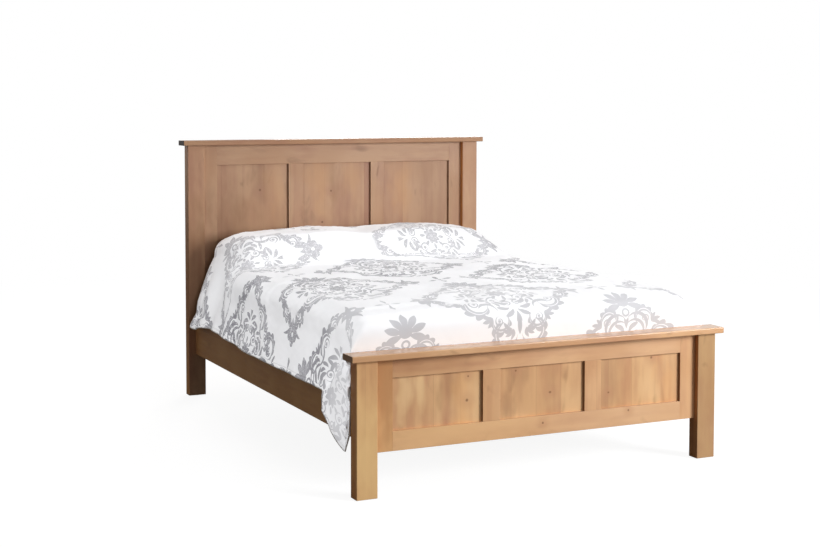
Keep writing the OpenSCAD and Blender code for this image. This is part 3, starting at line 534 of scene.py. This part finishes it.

# Patches of another colour, as (x, z, radius, colour, strength). Those of the panels are where the wood took
# more or less stain, except the last head patch, which is painted shade
DEEP, DUSK, GOLD = srgb(112, 68, 36), srgb(150, 108, 78), srgb(232, 176, 118)
PALE = srgb(240, 204, 152)
FOOT_PATCHES = [
    (-0.62, 0.40, 0.08, PALE, 0.6), (-0.54, 0.42, 0.05, PALE, 0.5), (-0.43, 0.42, 0.08, DUSK, 0.35),
    (-0.36, 0.30, 0.10, GOLD, 0.4), (-0.12, 0.44, 0.08, DUSK, 0.35), (-0.16, 0.29, 0.08, DUSK, 0.25),
    (0.06, 0.38, 0.09, DUSK, 0.2), (0.30, 0.38, 0.16, DUSK, 0.35), (0.60, 0.34, 0.10, GOLD, 0.35),
]
HEAD_PATCHES = [
    (-0.43, 1.09, 0.11, DEEP, 0.22), (-0.34, 1.07, 0.12, GOLD, 0.35), (-0.09, 1.08, 0.13, GOLD, 0.5),
    (-0.02, 1.07, 0.07, DEEP, 0.22), (0.10, 1.09, 0.10, GOLD, 0.35), (0.38, 1.06, 0.12, GOLD, 0.55),
    # Painted shade: the last patch darkens the low left beside the pillows
    (0.56, 1.00, 0.22, DUSK, 0.2), (-0.60, 0.70, 0.24, DEEP, 0.4),
]
# Painted shade: the headboard's low left, beside the pillows, is painted darker
HEAD_PILLOW_SHADE = [(-0.76, 0.56, 0.30, DEEP, 0.6)]
# The footboard's left stile and left post are paler towards the bottom
RED_STILE_PATCHES = [(-0.705, 0.17, 0.12, srgb(249, 209, 161), 0.9)]
POST_PATCHES = [(-0.786, 0.16, 0.17, PALE, 0.75)]
# Painted light and shade: the footboard's top rail is painted darker at its left end under the cap, and the
# rails paler towards the right and the bottom left
FOOT_RAIL_LIGHT_AND_SHADE = [
    (-0.62, 0.60, 0.30, srgb(150, 98, 64), 0.55), (-0.42, 0.25, 0.34, srgb(236, 190, 138), 0.75),
    (0.45, 0.58, 0.40, srgb(228, 190, 152), 0.35), (0.50, 0.25, 0.40, srgb(230, 192, 154), 0.35),
]

# Tints. Painted shade: the headboard and its posts are tinted darker and cooler than the footboard, for the
# light that falls off towards the head
HEAD_SHADE_TINT = (0.69, 0.70, 0.79)
HEAD_POST_SHADE_TINT = (0.77, 0.78, 0.86)
RED_TINT = (0.78, 0.67, 0.55)
DULL_TINT = (0.75, 0.79, 0.74)
FAIR_TINT = (1.0, 0.97, 0.86)
# Painted shade: the side rails are tinted darker and warmer
SIDE_RAIL_SHADE_TINT = (0.80, 0.69, 0.50)
# Painted shade on the faces that look along X: the posts' sides, the reveals beside the panels and the cap
# ends
FOOT_SIDE_SHADE, HEAD_SIDE_SHADE, REVEAL_SHADE = (0.80, 0.58, 0.42), (1.15, 0.87, 0.45), (0.45, 0.38, 0.32)
CAP_END_SHADE = (0.22, 0.20, 0.18)

MATERIALS = {
    "post": wood("post_wood", Z, X, 0.31, (0.17, 0.4, 0.9), tone=FAIR_TINT, sides=FOOT_SIDE_SHADE,
                 patches=POST_PATCHES),
    "cap": wood("cap_wood", X, Y, 0.27, (0.05, 1.3, 0.2), rough=0.15, gloss=0.5),
    "frame_long": wood("rail_grain_wood", X, Z, 0.45, (0.33, 2.1, 0.7), knots=RAIL_KNOTS,
                       patches=FOOT_RAIL_LIGHT_AND_SHADE),
    "frame_tall": wood("stile_grain_wood", Z, X, 0.29, (0.61, 0.2, 1.7), sides=REVEAL_SHADE),
    "panel": wood("panel_wood", Z, X, 0.115, (0.021, 0.8, 2.3), srgb(228, 186, 138), knots=FOOT_KNOTS,
                  patches=FOOT_PATCHES),
    "head_post": wood("head_post_wood", Z, X, 0.31, (0.87, 0.1, 0.3), tone=HEAD_POST_SHADE_TINT,
                      sides=HEAD_SIDE_SHADE, patches=HEAD_PILLOW_SHADE),
    "head_cap": wood("head_cap_wood", X, Y, 0.27, (0.45, 0.3, 1.2), tone=HEAD_SHADE_TINT, sides=CAP_END_SHADE,
                     gloss=0.06),
    "head_frame_long": wood("head_rail_wood", X, Z, 0.45, (0.73, 1.1, 0.2), tone=HEAD_SHADE_TINT),
    "head_frame_tall": wood("head_stile_wood", Z, X, 0.29, (0.26, 0.9, 0.7), tone=HEAD_SHADE_TINT,
                            sides=REVEAL_SHADE, patches=HEAD_PILLOW_SHADE),
    "head_panel": wood("head_panel_wood", Z, X, 0.115, (0.061, 0.3, 1.3), tone=HEAD_SHADE_TINT, knots=HEAD_KNOTS,
                       patches=HEAD_PATCHES),
    "red_stile": wood("red_stile_wood", Z, X, 0.29, (0.61, 0.2, 1.7), tone=RED_TINT, sides=REVEAL_SHADE,
                      patches=RED_STILE_PATCHES),
    "dull_post": wood("dull_post_wood", Z, X, 0.31, (0.37, 0.7, 0.1), tone=DULL_TINT, sides=FOOT_SIDE_SHADE),
    "side_rail": wood("side_rail_wood", Y, Z, 0.4, (0.44, 1.1, 0.3), tone=SIDE_RAIL_SHADE_TINT),
    "dowel": lumber("dowel_wood", Z, (0.2, 0.5, 0.1)),
    "cleat": lumber("cleat_wood", Y, (0.9, 0.1, 0.4)),
    "slat": lumber("slat_wood", X, (0.3, 0.3, 0.8)),
    "leg": lumber("leg_wood", Z, (0.7, 0.9, 0.2)),
    "plate": steel("fitting_steel", srgb(176, 176, 172), 0.34, 0.4),
    "screw": steel("screw_steel", srgb(188, 182, 160), 0.3, 0.3),
    "foot": steel("foot_steel", srgb(150, 150, 150), 0.4, 0.5),
    "glide": plastic("glide_plastic", srgb(40, 38, 36)),
    "foundation": fabric("foundation_cloth", srgb(214, 214, 214), srgb(176, 176, 178), 0.002),
    "mattress": fabric("mattress_cloth", srgb(240, 240, 238), srgb(206, 206, 208), 0.0015, quilt=0.11),
    "pillow": fabric("pillow_cloth", srgb(246, 246, 246), srgb(216, 216, 220), 0.0009),
    "piping": fabric("piping_cloth", srgb(232, 222, 210), srgb(196, 186, 176), 0.0009),
}

# Which material each carried-over node takes, by a part of its name; the first match holds
DRESS = [
    ("foot_stile_left", "red_stile"), ("foot_post_right", "dull_post"),
    ("slot_plates", "plate"), ("hook_plates", "plate"), ("screws", "screw"), ("inserts", "plate"),
    ("glides", "glide"), ("dowels", "dowel"), ("levelling_foot", "foot"), ("centre_leg", "leg"),
    ("cleat", "cleat"), ("slat", "slat"), ("side_rail", "side_rail"), ("_post_", "post"), ("_cap", "cap"),
    ("_panel_", "panel"), ("_stile_", "frame_tall"), ("_mullion_", "frame_tall"), ("_rail", "frame_long"),
]
SOFT = ("foundation", "mattress", "pillow_left", "pillow_right", "comforter")

for node_name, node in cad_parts.items():
    if node_name in SOFT:
        continue
    look = next(material for part, material in DRESS if part in node_name)
    if node_name.startswith("head_") and "head_" + look in MATERIALS:
        look = "head_" + look
    node.data.materials.clear()
    node.data.materials.append(MATERIALS[look])


# Meshes

def grid_faces(columns, rows, first=0, wrap=False):
    """Quads over a grid of points laid row by row."""
    count = columns if wrap else columns - 1
    return [(first + j * columns + i, first + j * columns + (i + 1) % columns,
             first + (j + 1) * columns + (i + 1) % columns, first + (j + 1) * columns + i)
            for j in range(rows - 1) for i in range(count)]


def piece(name, points, faces, material, slot, *replaced, weld=0.0):
    """Closed mesh that rides the bed, with its faces turned outward and points within weld merged."""
    mesh = bpy.data.meshes.new(name)
    mesh.from_pydata([tuple(p) for p in points], [], faces)
    mesh.validate()
    mesh.materials.append(material)
    mesh.shade_smooth()
    work = bmesh.new()
    work.from_mesh(mesh)
    if weld:
        bmesh.ops.remove_doubles(work, verts=work.verts, dist=weld)
    bmesh.ops.recalc_face_normals(work, faces=work.faces)
    work.to_mesh(mesh)
    work.free()
    made = bpy.data.objects.new(name, mesh)
    bpy.context.scene.collection.objects.link(made)
    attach(made, BED)
    if replaced:
        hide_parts(*replaced)
    return made


def tube(path, radius, sides=8):
    """Points and faces of a closed cord along a closed path."""
    path = np.asarray(path, float)
    ahead = np.roll(path, -1, 0) - np.roll(path, 1, 0)
    ahead /= np.linalg.norm(ahead, axis=1)[:, None]
    side = np.cross(ahead, np.array([0.0, 0.0, 1.0]))
    side /= np.maximum(np.linalg.norm(side, axis=1), 1e-6)[:, None]
    top = np.cross(side, ahead)
    turns = [2 * math.pi * k / sides for k in range(sides)]
    points = np.stack([path + radius * (math.cos(a) * side + math.sin(a) * top) for a in turns], 1)
    count = len(path) * sides
    faces = [tuple(i % count for i in f) for f in grid_faces(sides, len(path) + 1, wrap=True)]
    return points.reshape(-1, 3), faces


def join_meshes(*parts):
    points, faces = [], []
    for part_points, part_faces in parts:
        start = sum(len(p) for p in points)
        points.append(part_points)
        faces += [tuple(start + i for i in f) for f in part_faces]
    return np.concatenate(points), faces


def smooth(t):
    t = np.clip(t, 0.0, 1.0)
    return t * t * (3 - 2 * t)


def mix(a, b, t):
    return a + (b - a) * t


def bell(value, middle, width):
    """1 at the middle, falling to nothing on both sides."""
    return np.exp(-((value - middle) / width) ** 2)


def ripples(u, v, seed, low, high, count):
    """Smooth seeded unevenness of about unit height; low and high are the waves' lengths."""
    rng = np.random.default_rng(seed)
    total = np.zeros(np.broadcast(u, v).shape)
    for _ in range(count):
        angle = rng.uniform(0, math.pi)
        length = math.exp(rng.uniform(math.log(low), math.log(high)))
        phase = rng.uniform(0, 2 * math.pi)
        total += np.sin(2 * math.pi * (u * math.cos(angle) + v * math.sin(angle)) / length + phase)
    return total / math.sqrt(count)


# Mattress and foundation: rounded slabs with a welt along each edge

# Gap between a cover and the box of the solid that it stands for
COVER_ROOM = 0.003


def rounded_outline(half_w, half_l, radius, steps=10):
    points = []
    for sx, sy, start in ((1, 1, 0), (-1, 1, 90), (-1, -1, 180), (1, -1, 270)):
        for k in range(steps + 1):
            a = math.radians(start + 90 * k / steps)
            points.append((sx * (half_w - radius) + radius * math.cos(a),
                           sy * (half_l - radius) + radius * math.sin(a)))
    return np.array(points)


def slab(low, high, corner, edge, bulge, crown, rings=14, lid=16):
    """Closed slab between two corners, with rounded edges, sides that bulge and a crowned top."""
    low, high = np.array(low), np.array(high)
    middle, half, height = (low + high) / 2, (high - low) / 2, high[Z] - low[Z]
    points = []
    for k in range(rings + 1):
        a = math.pi * (k / rings - 0.5)
        inset = edge * (1 - abs(math.cos(a)) ** 0.6) + bulge * (1 - math.cos(a) ** 2)
        outline = rounded_outline(half[X] - inset, half[Y] - inset, max(corner - inset, 0.01))
        z = low[Z] + height * (math.sin(a) + 1) / 2
        points += [(middle[X] + x, middle[Y] + y, z) for x, y in outline]
    count = len(outline)
    faces = grid_faces(count, rings + 1, wrap=True)

    # The lids: rings that shrink to a point in the middle of the bottom and of the top
    for previous, lift, order in ((0, 0.0, -1), (rings * count, crown, 1)):
        rim = np.array(points[previous:previous + count])
        centre = np.array([middle[X], middle[Y], rim[0, Z]])
        for k in range(1, lid):
            start = len(points)
            shrunk = mix(rim, centre, k / lid)
            shrunk[:, Z] += lift * smooth(3 * k / lid)
            points += [tuple(p) for p in shrunk]
            faces += [(previous + i, previous + (i + 1) % count, start + (i + 1) % count, start + i)[::order]
                      for i in range(count)]
            previous = start
        faces += [(previous + i, previous + (i + 1) % count, len(points))[::order] for i in range(count)]
        points.append((*centre[:Z], centre[Z] + lift))
    return points, faces


def welt_path(low, high, corner, inset, z):
    middle = [(a + b) / 2 for a, b in zip(low, high)]
    half_w, half_l = ((b - a) / 2 - inset for a, b in zip(low[:Z], high[:Z]))
    return [(middle[X] + x, middle[Y] + y, z) for x, y in rounded_outline(half_w, half_l, corner - inset)]


def make_slab(name, corner, edge, bulge, crown, welt):
    low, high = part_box(name)
    low, high = [c + COVER_ROOM for c in low], [c - COVER_ROOM for c in high]
    body = slab(low, (high[X], high[Y], high[Z] - crown), corner, edge, bulge, crown)
    cover = piece(name + "_cover", *body, MATERIALS[name], name + "_fabric", name)
    welts = [tube(welt_path(low, high, corner, edge * 0.14 + bulge, mix(low[Z], high[Z], share)), welt)
             for share in (0.14, 0.84)]
    piece(name + "_welts", *join_meshes(*welts), MATERIALS["piping"], name + "_fabric")


make_slab("foundation", corner=0.04, edge=0.02, bulge=0.0, crown=0.0, welt=0.003)
make_slab("mattress", corner=0.12, edge=0.05, bulge=0.006, crown=0.006, welt=0.004)


# Pillows

def pillow(name, seed, columns=57, pull=0.05):
    """Pillow crowned above its seam and flatter below it, with sides drawn in between the corners."""
    low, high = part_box(name)
    middle, size = (low + high) / 2, high - low
    line = -np.cos(np.linspace(0, math.pi, columns))
    a, b = np.meshgrid(line, line)
    crown = np.sqrt(np.clip((1 - np.abs(a) ** 3) * (1 - np.abs(b) ** 3), 0, 1))
    x = a * size.x / 2 * (1 - pull * (1 - b * b) * np.abs(a)) * 0.985
    y = b * size.y / 2 * (1 - pull * (1 - a * a) * np.abs(b)) * 0.985
    seam = 0.32 * size.z
    wrinkle = 0.0035 * ripples(x, y, seed, 0.05, 0.2, 18) * (1 - crown) ** 0.5 * np.sqrt(crown)
    top = seam + (size.z - seam - 0.004) * crown + wrinkle
    bottom = seam - (seam - 0.002) * crown ** 0.5
    skins = [np.stack([middle.x + x, middle.y + y, low.z + z], -1).reshape(-1, 3) for z in (top, bottom)]
    faces = grid_faces(columns, columns) + [f[::-1] for f in grid_faces(columns, columns, columns ** 2)]
    made = piece(name + "_case", np.concatenate(skins), faces, MATERIALS["pillow"], "pillow_fabric", name,
                 weld=0.0005)


pillow("pillow_left", seed=4)
pillow("pillow_right", seed=6)


# Comforter

rail_high, mattress_high, foot_post_high, foot_cap_high = (
    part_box(name)[1] for name in ("side_rail_right", "mattress", "foot_post_right", "foot_cap"))
head_post_low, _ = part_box("head_post_right")
pillow_low, pillow_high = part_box("pillow_right")

CLEARANCE = 0.003
HEAD_Y = head_post_low.y - 0.010
TUCK_Y = foot_cap_high.y + CLEARANCE
END_Y = foot_post_high.y + CLEARANCE
SLOPE_Y = TUCK_Y + 0.459
TUCK_DEPTH = 0.130
TOP_Z = mattress_high.z + 0.0543
RAIL_X = rail_high.x
HALF_W = mattress_high.x
PAD_T, EDGE_T, HEM_T = 0.054, 0.012, 0.004
CROWN, HUMP_CROWN = 0.010, 0.018
PILLOW_LOFT = 0.013
HUMP_RISE = pillow_high.z - pillow_low.z + EDGE_T + PILLOW_LOFT - PAD_T - HUMP_CROWN
HUMP_SET_BACK = 0.10
DIP, DIP_W = 0.012, 0.110
TOP_COLUMNS, SHOULDER_COLUMNS, SIDE_COLUMNS = 5.0, 4.0, 5.0
FLAT_ROWS, SLOPE_ROWS, TUCK_ROWS = 11.0, 7.0, 2.0
HALF_COLUMNS = TOP_COLUMNS + SHOULDER_COLUMNS + SIDE_COLUMNS
ALL_ROWS = FLAT_ROWS + SLOPE_ROWS + TUCK_ROWS

# Powers that shape the foot slope: boxy over the mattress and softer at its corners
MIDDLE_POWER, CORNER_POWER = 4.6, 3.3

# Half-width of the flat top, then width and height of the rounded shoulder beside it
FLAT_TOP = (HALF_W - 0.047, 0.082, 0.082)
OVER_PILLOWS = (HALF_W - 0.222, 0.155, 0.105)
AT_FOOT = (HALF_W + 0.030, 0.040, 0.060)

# The foot tails, and the hem, which rises towards the pillows and falls again at its head end
TAIL_START_Y = foot_post_high.y + 0.252
TAIL_TIP_Y = foot_post_high.y + 0.038
TAIL_DROP = 0.199
HEM_OUT = 0.044
HEM_Z, HEM_HEAD_UP, HEM_END_DOWN, HEM_END_IN = 0.371, 0.030, 0.038, 0.045
HEM_CORD = 0.0026

# Where cloth is lost to view in the crease before the pillows, and the print's jump there, across and along
CREASE_Y, CREASE_SHIFT = 0.44, (0.118, 0.165)


def over_pillows(y, set_back=0.0):
    return smooth((y - set_back - pillow_low.y + 0.130) / 0.200)


def near_head(y):
    return smooth((y - head_post_low.y + 0.160) / 0.160)


def tail(y):
    """How far a foot tail has dropped at y, from 0 to 1 at its tip."""
    corner = TAIL_START_Y - 0.012
    return (0.33 * smooth((TAIL_START_Y - y) / 0.024)
            + 0.67 * np.clip((corner - y) / (corner - TAIL_TIP_Y), 0, 1)
            - 0.35 * np.clip((TAIL_TIP_Y - y) / (TAIL_TIP_Y - END_Y), 0, 1))


def share_of(value, start, length):
    """How far a value has run along a stretch, from 0 to 1."""
    return np.clip((value - start) / length, 0, 1)


def side_drop(m):
    return share_of(m, TOP_COLUMNS + SHOULDER_COLUMNS, SIDE_COLUMNS)


def outer_point(m, r, side):
    """Point of the comforter's upper skin; m counts columns from the middle and r rows from the head."""
    slope = share_of(r, FLAT_ROWS, SLOPE_ROWS)
    tuck = share_of(r, FLAT_ROWS + SLOPE_ROWS, TUCK_ROWS)
    across = share_of(m, TOP_COLUMNS, SHOULDER_COLUMNS)
    drop = side_drop(m)
    s, c = np.sin(math.pi / 2 * slope), np.clip(np.cos(math.pi / 2 * slope), 0, 1)
    y = np.where(r <= FLAT_ROWS, mix(HEAD_Y, SLOPE_Y, share_of(r, 0, FLAT_ROWS)),
                 mix(SLOPE_Y, TUCK_Y, s ** (2 / MIDDLE_POWER)))
    y = y - (TUCK_Y - END_Y) * mix(np.clip(2 * tuck - 1, 0, 1), tuck, drop) * across
    y = y - HEM_END_IN * drop ** 2 * near_head(y)

    # The hump over the pillows is set back towards the sides and falls a little towards the headboard
    lie = over_pillows(y, HUMP_SET_BACK * smooth((m - 2) / 6))
    up = lie * (1 - 0.2 * near_head(y))
    half_w, round_w, round_h = (mix(mix(flat, foot, slope ** 3), hump, lie)
                                for flat, foot, hump in zip(FLAT_TOP, AT_FOOT, OVER_PILLOWS))
    level = TOP_Z + HUMP_RISE * up
    turn = 2 / mix(MIDDLE_POWER, CORNER_POWER, smooth((m - 3) / 4))
    edge_z = level - (level - foot_cap_high.z) * (1 - c ** turn) - TUCK_DEPTH * tuck
    t = np.clip(m / TOP_COLUMNS, 0, 1)
    crown_h = mix(CROWN, HUMP_CROWN, up) * np.sqrt(c)
    top_z = edge_z + crown_h * (1 - t ** mix(2, 4, up)) - DIP * up * bell(t * half_w, 0, DIP_W)

    angle = math.pi / 2 * across
    full = mix(1.0, 0.78, lie)
    turn_out, turn_down = np.sin(angle) ** full, 1 - np.clip(np.cos(angle), 0, 1) ** full
    hem_z = (HEM_Z + HEM_HEAD_UP * smooth((y - 0.10) / 0.60) - HEM_END_DOWN * smooth((y - 0.70) / 0.26)
             - TAIL_DROP * tail(y))
    hem_x = RAIL_X + HEM_OUT + 0.004 * lie
    flare = drop ** mix(1.6, mix(0.72, 0.87, near_head(y)), lie)
    x = np.where(m <= TOP_COLUMNS, t * half_w,
                 np.where(drop > 0, mix(half_w + round_w, hem_x, flare), half_w + round_w * turn_out))
    z = np.where(m <= TOP_COLUMNS, top_z,
                 np.where(drop > 0, mix(edge_z - round_h, hem_z, drop), edge_z - round_h * turn_down))
    return np.stack([side * x, y, z], -1)


def even_steps(curve, step):
    """Parameters that cut a curve, sampled at even parameters from 0 to 1, into steps of equal length, and
    the curve's length."""
    length = np.concatenate([[0], np.cumsum(np.linalg.norm(np.diff(curve, axis=0), axis=1))])
    cuts = np.linspace(0, length[-1], int(length[-1] / step) + 2)
    return np.interp(cuts, length, np.linspace(0, 1, len(curve))), length[-1]


def comforter_grid(step):
    """Upper skin as a grid of points from the left hem to the right and from the head to the foot, with the
    flat cloth's places across and along and how far each point has dropped down its side."""
    fine = np.linspace(0, 1, 4001)
    rows, long_way = even_steps(outer_point(np.zeros_like(fine), fine * ALL_ROWS, 1), step)
    columns, _ = even_steps(outer_point(fine * HALF_COLUMNS, np.full_like(fine, 6.0), 1), step)
    m, r = np.meshgrid(np.concatenate([-columns[:0:-1], columns]) * HALF_COLUMNS, rows * ALL_ROWS)
    points = outer_point(np.abs(m), r, np.where(m < 0, -1, 1))
    steps = np.linalg.norm(np.diff(points, axis=1), axis=2)
    across = np.cumsum(np.concatenate([np.zeros((len(rows), 1)), steps], 1), 1)
    across -= across[:, [len(columns) - 1]]
    along = np.linspace(0, long_way, len(rows))[:, None] * np.ones_like(across)
    return points, across, along, side_drop(np.abs(m))


def normals(points):
    n = np.cross(np.gradient(points, axis=0), np.gradient(points, axis=1))
    return n / np.maximum(np.linalg.norm(n, axis=2), 1e-9)[..., None]


# The fold edge of a foot tail, from the post down to the tail's corner: places along the bed and heights
FOLD_TOP = (foot_post_high.y + 0.030, 0.525)
FOLD_LOW = (TAIL_START_Y + 0.012, 0.300)
FLAP_OUT = 0.030

# Place, width and height of what marks the hanging sides: a ridge beside the head end, the hollow where the
# side turns out over the rail, and a soft break higher up
RIDGE_Y, RIDGE_W, RIDGE_OUT = 0.955, 0.020, 0.009
TURN_Z, TURN_W, TURN_IN = 0.44, 0.035, 0.012
BREAK_Z, BREAK_W, BREAK_IN = 0.562, 0.022, 0.005


def relief(points, u, v, drop):
    """How far the cloth stands out from the plain surface: soft folds, puckers and the fold of each tail."""
    x, y, z = (points[..., axis] for axis in (X, Y, Z))
    side = np.where(x < 0, 0.0, 1.0)
    hang = smooth(drop * 1.6)
    shoulder = bell(drop, 0.02, 0.16)
    top = 1 - smooth(drop * 4 + 0.2)
    calm = smooth((y - foot_post_high.y) / 0.05) * smooth((head_post_low.y - y) / 0.03)

    folds = ripples(y + 5.0 * side, 0.25 * z, 31, 0.16, 0.42, 7)
    out = 0.0080 * folds * hang * calm
    fine = ripples(y + 3.0 * side, 0.1 * z, 47, 0.035, 0.08, 9)
    out += 0.0022 * fine * shoulder * smooth(0.5 + ripples(y, z, 5, 0.3, 0.5, 3)) * calm
    out += 0.0042 * ripples(u, v, 12, 0.16, 0.50, 16) * (0.4 + 0.6 * top) * calm
    out += 0.0007 * ripples(u, v, 77, 0.03, 0.09, 22) * calm

    ridge = bell(y + 0.1 * (z - 0.5), RIDGE_Y, RIDGE_W) * smooth(drop * 3) * smooth((z - TURN_Z) / 0.1)
    out += RIDGE_OUT * ridge
    out -= TURN_IN * bell(z, TURN_Z, TURN_W) * smooth((y - 0.75) / 0.15) * hang
    out -= BREAK_IN * bell(z - 0.01 * folds, BREAK_Z, BREAK_W) * hang * (1 - over_pillows(y)) * calm

    # Tails: the cloth between the fold edge and the post turns towards the foot
    depth = np.clip((FOLD_TOP[1] - z) / (FOLD_TOP[1] - FOLD_LOW[1]), 0, 1)
    fold_y = mix(FOLD_TOP[0], FOLD_LOW[0], depth)
    flap = (y - foot_post_high.y) / np.maximum(fold_y - foot_post_high.y, 0.01)
    before = mix(-0.022, 1.0, np.clip(flap, 0, 1))
    out += FLAP_OUT * np.where(flap < 1, before, bell(y, fold_y, 0.055)) * smooth(depth * 3.0)
    return out


def lay(made, name, first, second):
    """Writes a pair of values per grid point into a UV layer, alike on the upper and the inner skin."""
    flat = np.stack([first, second], -1).reshape(-1, 2)
    flat = np.concatenate([flat, flat])
    layer = made.data.uv_layers.new(name=name)
    corners = np.empty(len(made.data.loops), dtype=np.int32)
    made.data.loops.foreach_get("vertex_index", corners)
    layer.data.foreach_set("uv", flat[corners].ravel())


def comforter():
    points, u, v, drop = comforter_grid(0.008)
    rows, columns = u.shape
    points = points + relief(points, u, v, drop)[..., None] * normals(points)

    # The skins part from the hem inward, and lie closer together on the sides over the pillows
    j, i = np.mgrid[:rows, :columns]
    from_rim = np.minimum(np.minimum(i, columns - 1 - i), np.minimum(j, rows - 1 - j)) / (rows - 1) * v.max()
    thick = mix(HEM_T, EDGE_T, np.sqrt(smooth(from_rim / 0.035)))
    thick *= mix(1.0, 0.6, smooth(drop * 4) * over_pillows(points[..., Y]))
    inner = points - thick[..., None] * normals(points)

    index = np.arange(rows * columns).reshape(rows, columns)
    rim = np.concatenate([index[0], index[1:, -1], index[-1, -2::-1], index[-2:0:-1, 0]]).tolist()
    count = rows * columns
    faces = grid_faces(columns, rows) + [f[::-1] for f in grid_faces(columns, rows, count)]
    faces += [(a, b, count + b, count + a) for a, b in zip(rim, rim[1:] + rim[:1])]
    made = piece("comforter_cover", np.concatenate([points.reshape(-1, 3), inner.reshape(-1, 3)]), faces,
                 printed_cloth("comforter_cloth", srgb(248, 248, 250), srgb(232, 232, 236)),
                 "comforter_fabric", "comforter")
    jump = smooth((points[..., Y] - CREASE_Y) / 0.05)
    lay(made, "flat_cloth", u + CREASE_SHIFT[0] * jump, v - CREASE_SHIFT[1] * jump)
    lay(made, "from_edge", np.abs(u[:, -1:]) - np.abs(u), np.minimum(v, v.max() - v))
    hem_line = ((points + inner) / 2).reshape(-1, 3)[rim]
    hem = piece("comforter_hem", *tube(hem_line, HEM_CORD), MATERIALS["piping"], "comforter_fabric")
    return made


comforter_cover = comforter()


# Stage, light and camera

FLOOR_REACH = 14.0

# The floor fades to white between these distances from its middle
NEAR, FAR = 1.8, 6.0


def stage():
    mesh = bpy.data.meshes.new("floor")
    corners = [(x * FLOOR_REACH, y * FLOOR_REACH, 0) for x, y in ((-1, -1), (1, -1), (1, 1), (-1, 1))]
    mesh.from_pydata(corners, [], [(0, 1, 2, 3)])
    floor = bpy.data.objects.new("floor", mesh)
    bpy.context.scene.collection.objects.link(floor)
    t = Tree("floor_paint")
    seen = t.value("ShaderNodeLightPath", out="Is Camera Ray")
    pale = t.value("ShaderNodeBsdfDiffuse", {"Color": (0.27, 0.265, 0.26, 1)})
    shown = t.value("ShaderNodeBsdfDiffuse", {"Color": (0.26, 0.26, 0.26, 1)})
    away = t.vector("LENGTH", t.places()[0])
    level = t.fade(away, NEAR, FAR, 0.90, 1.0)
    glow = t.value("ShaderNodeEmission", {"Color": (1, 1, 1, 1), "Strength": level})
    near = t.value("ShaderNodeAddShader", {0: shown, 1: glow})
    faded = t.value("ShaderNodeMixShader", {0: t.fade(away, NEAR, FAR), 1: near, 2: glow})
    t.node("ShaderNodeOutputMaterial", {0: t.value("ShaderNodeMixShader", {0: seen, 1: pale, 2: faded})})
    mesh.materials.append(t.owner)

    sky = Tree("studio", "worlds")
    bpy.context.scene.world = sky.owner
    white_to = most(*(sky.value("ShaderNodeLightPath", out="Is %s Ray" % ray)
                      for ray in ("Camera", "Glossy", "Transmission")))
    light = sky.value("ShaderNodeBackground", {"Color": (1, 1, 1, 1),
                                               "Strength": sky.fade(white_to, 0.0, 1.0, 0.22, 1.0)})
    sky.node("ShaderNodeOutputWorld", {0: light})


def soft_box(name, place, target, size, level):
    """Area lamp whose level is the brightness of a white surface that faces it at the target."""
    lamp = bpy.data.lights.new(name, "AREA")
    lamp.size = size
    away = Vector(place) - Vector(target)
    lamp.energy = level * math.pi ** 2 * away.length_squared
    made = bpy.data.objects.new(name, lamp)
    made.location = place
    made.rotation_euler = away.to_track_quat("Z", "Y").to_euler()
    bpy.context.scene.collection.objects.link(made)
    return made


stage()
soft_box("key", (3.5, -5.2, 2.2), (0.0, -1.0, 0.5), 2.2, 1.0)
soft_box("overhead", (0.6, -0.8, 5.0), (0.0, 0.0, 0.5), 4.0, 0.26)
soft_box("back_light", (3.0, 6.0, 1.8), (0.0, 1.1, 0.6), 3.0, 0.5)

# Two fills light the comforter alone
bedding = bpy.data.collections.new("bedding")
bedding.objects.link(comforter_cover)
for fill in (soft_box("bedding_side_fill", (-5.1, -1.5, 0.9), (-0.8, 0.5, 0.5), 2.4, 0.67),
             soft_box("bedding_top_fill", (-1.0, 0.4, 4.0), (0.0, 0.1, 0.7), 2.4, 0.28)):
    fill.light_linking.receiver_collection = bedding

# The camera stands where the photograph was taken from
IMAGE_W, IMAGE_H = 820, 547
FOCAL_PX = 1466.2
CENTRE_PX, CENTRE_PY = 378.6, 176.1
CAMERA_PLACE = (-3.0213, -6.1221, 1.5440)
CAMERA_YAW, CAMERA_PITCH = -0.42626, -0.05584

camera_data = bpy.data.cameras.new("camera")
camera_data.sensor_width = 36.0
camera_data.lens = FOCAL_PX * camera_data.sensor_width / IMAGE_W
camera_data.shift_x = (IMAGE_W / 2 - CENTRE_PX) / IMAGE_W
camera_data.shift_y = (CENTRE_PY - IMAGE_H / 2) / IMAGE_W
camera = bpy.data.objects.new("camera", camera_data)
camera.location = CAMERA_PLACE
camera.rotation_euler = (math.pi / 2 + CAMERA_PITCH, 0.0, CAMERA_YAW)
bpy.context.scene.collection.objects.link(camera)
bpy.context.scene.camera = camera
bpy.context.scene.view_settings.view_transform = "Standard"
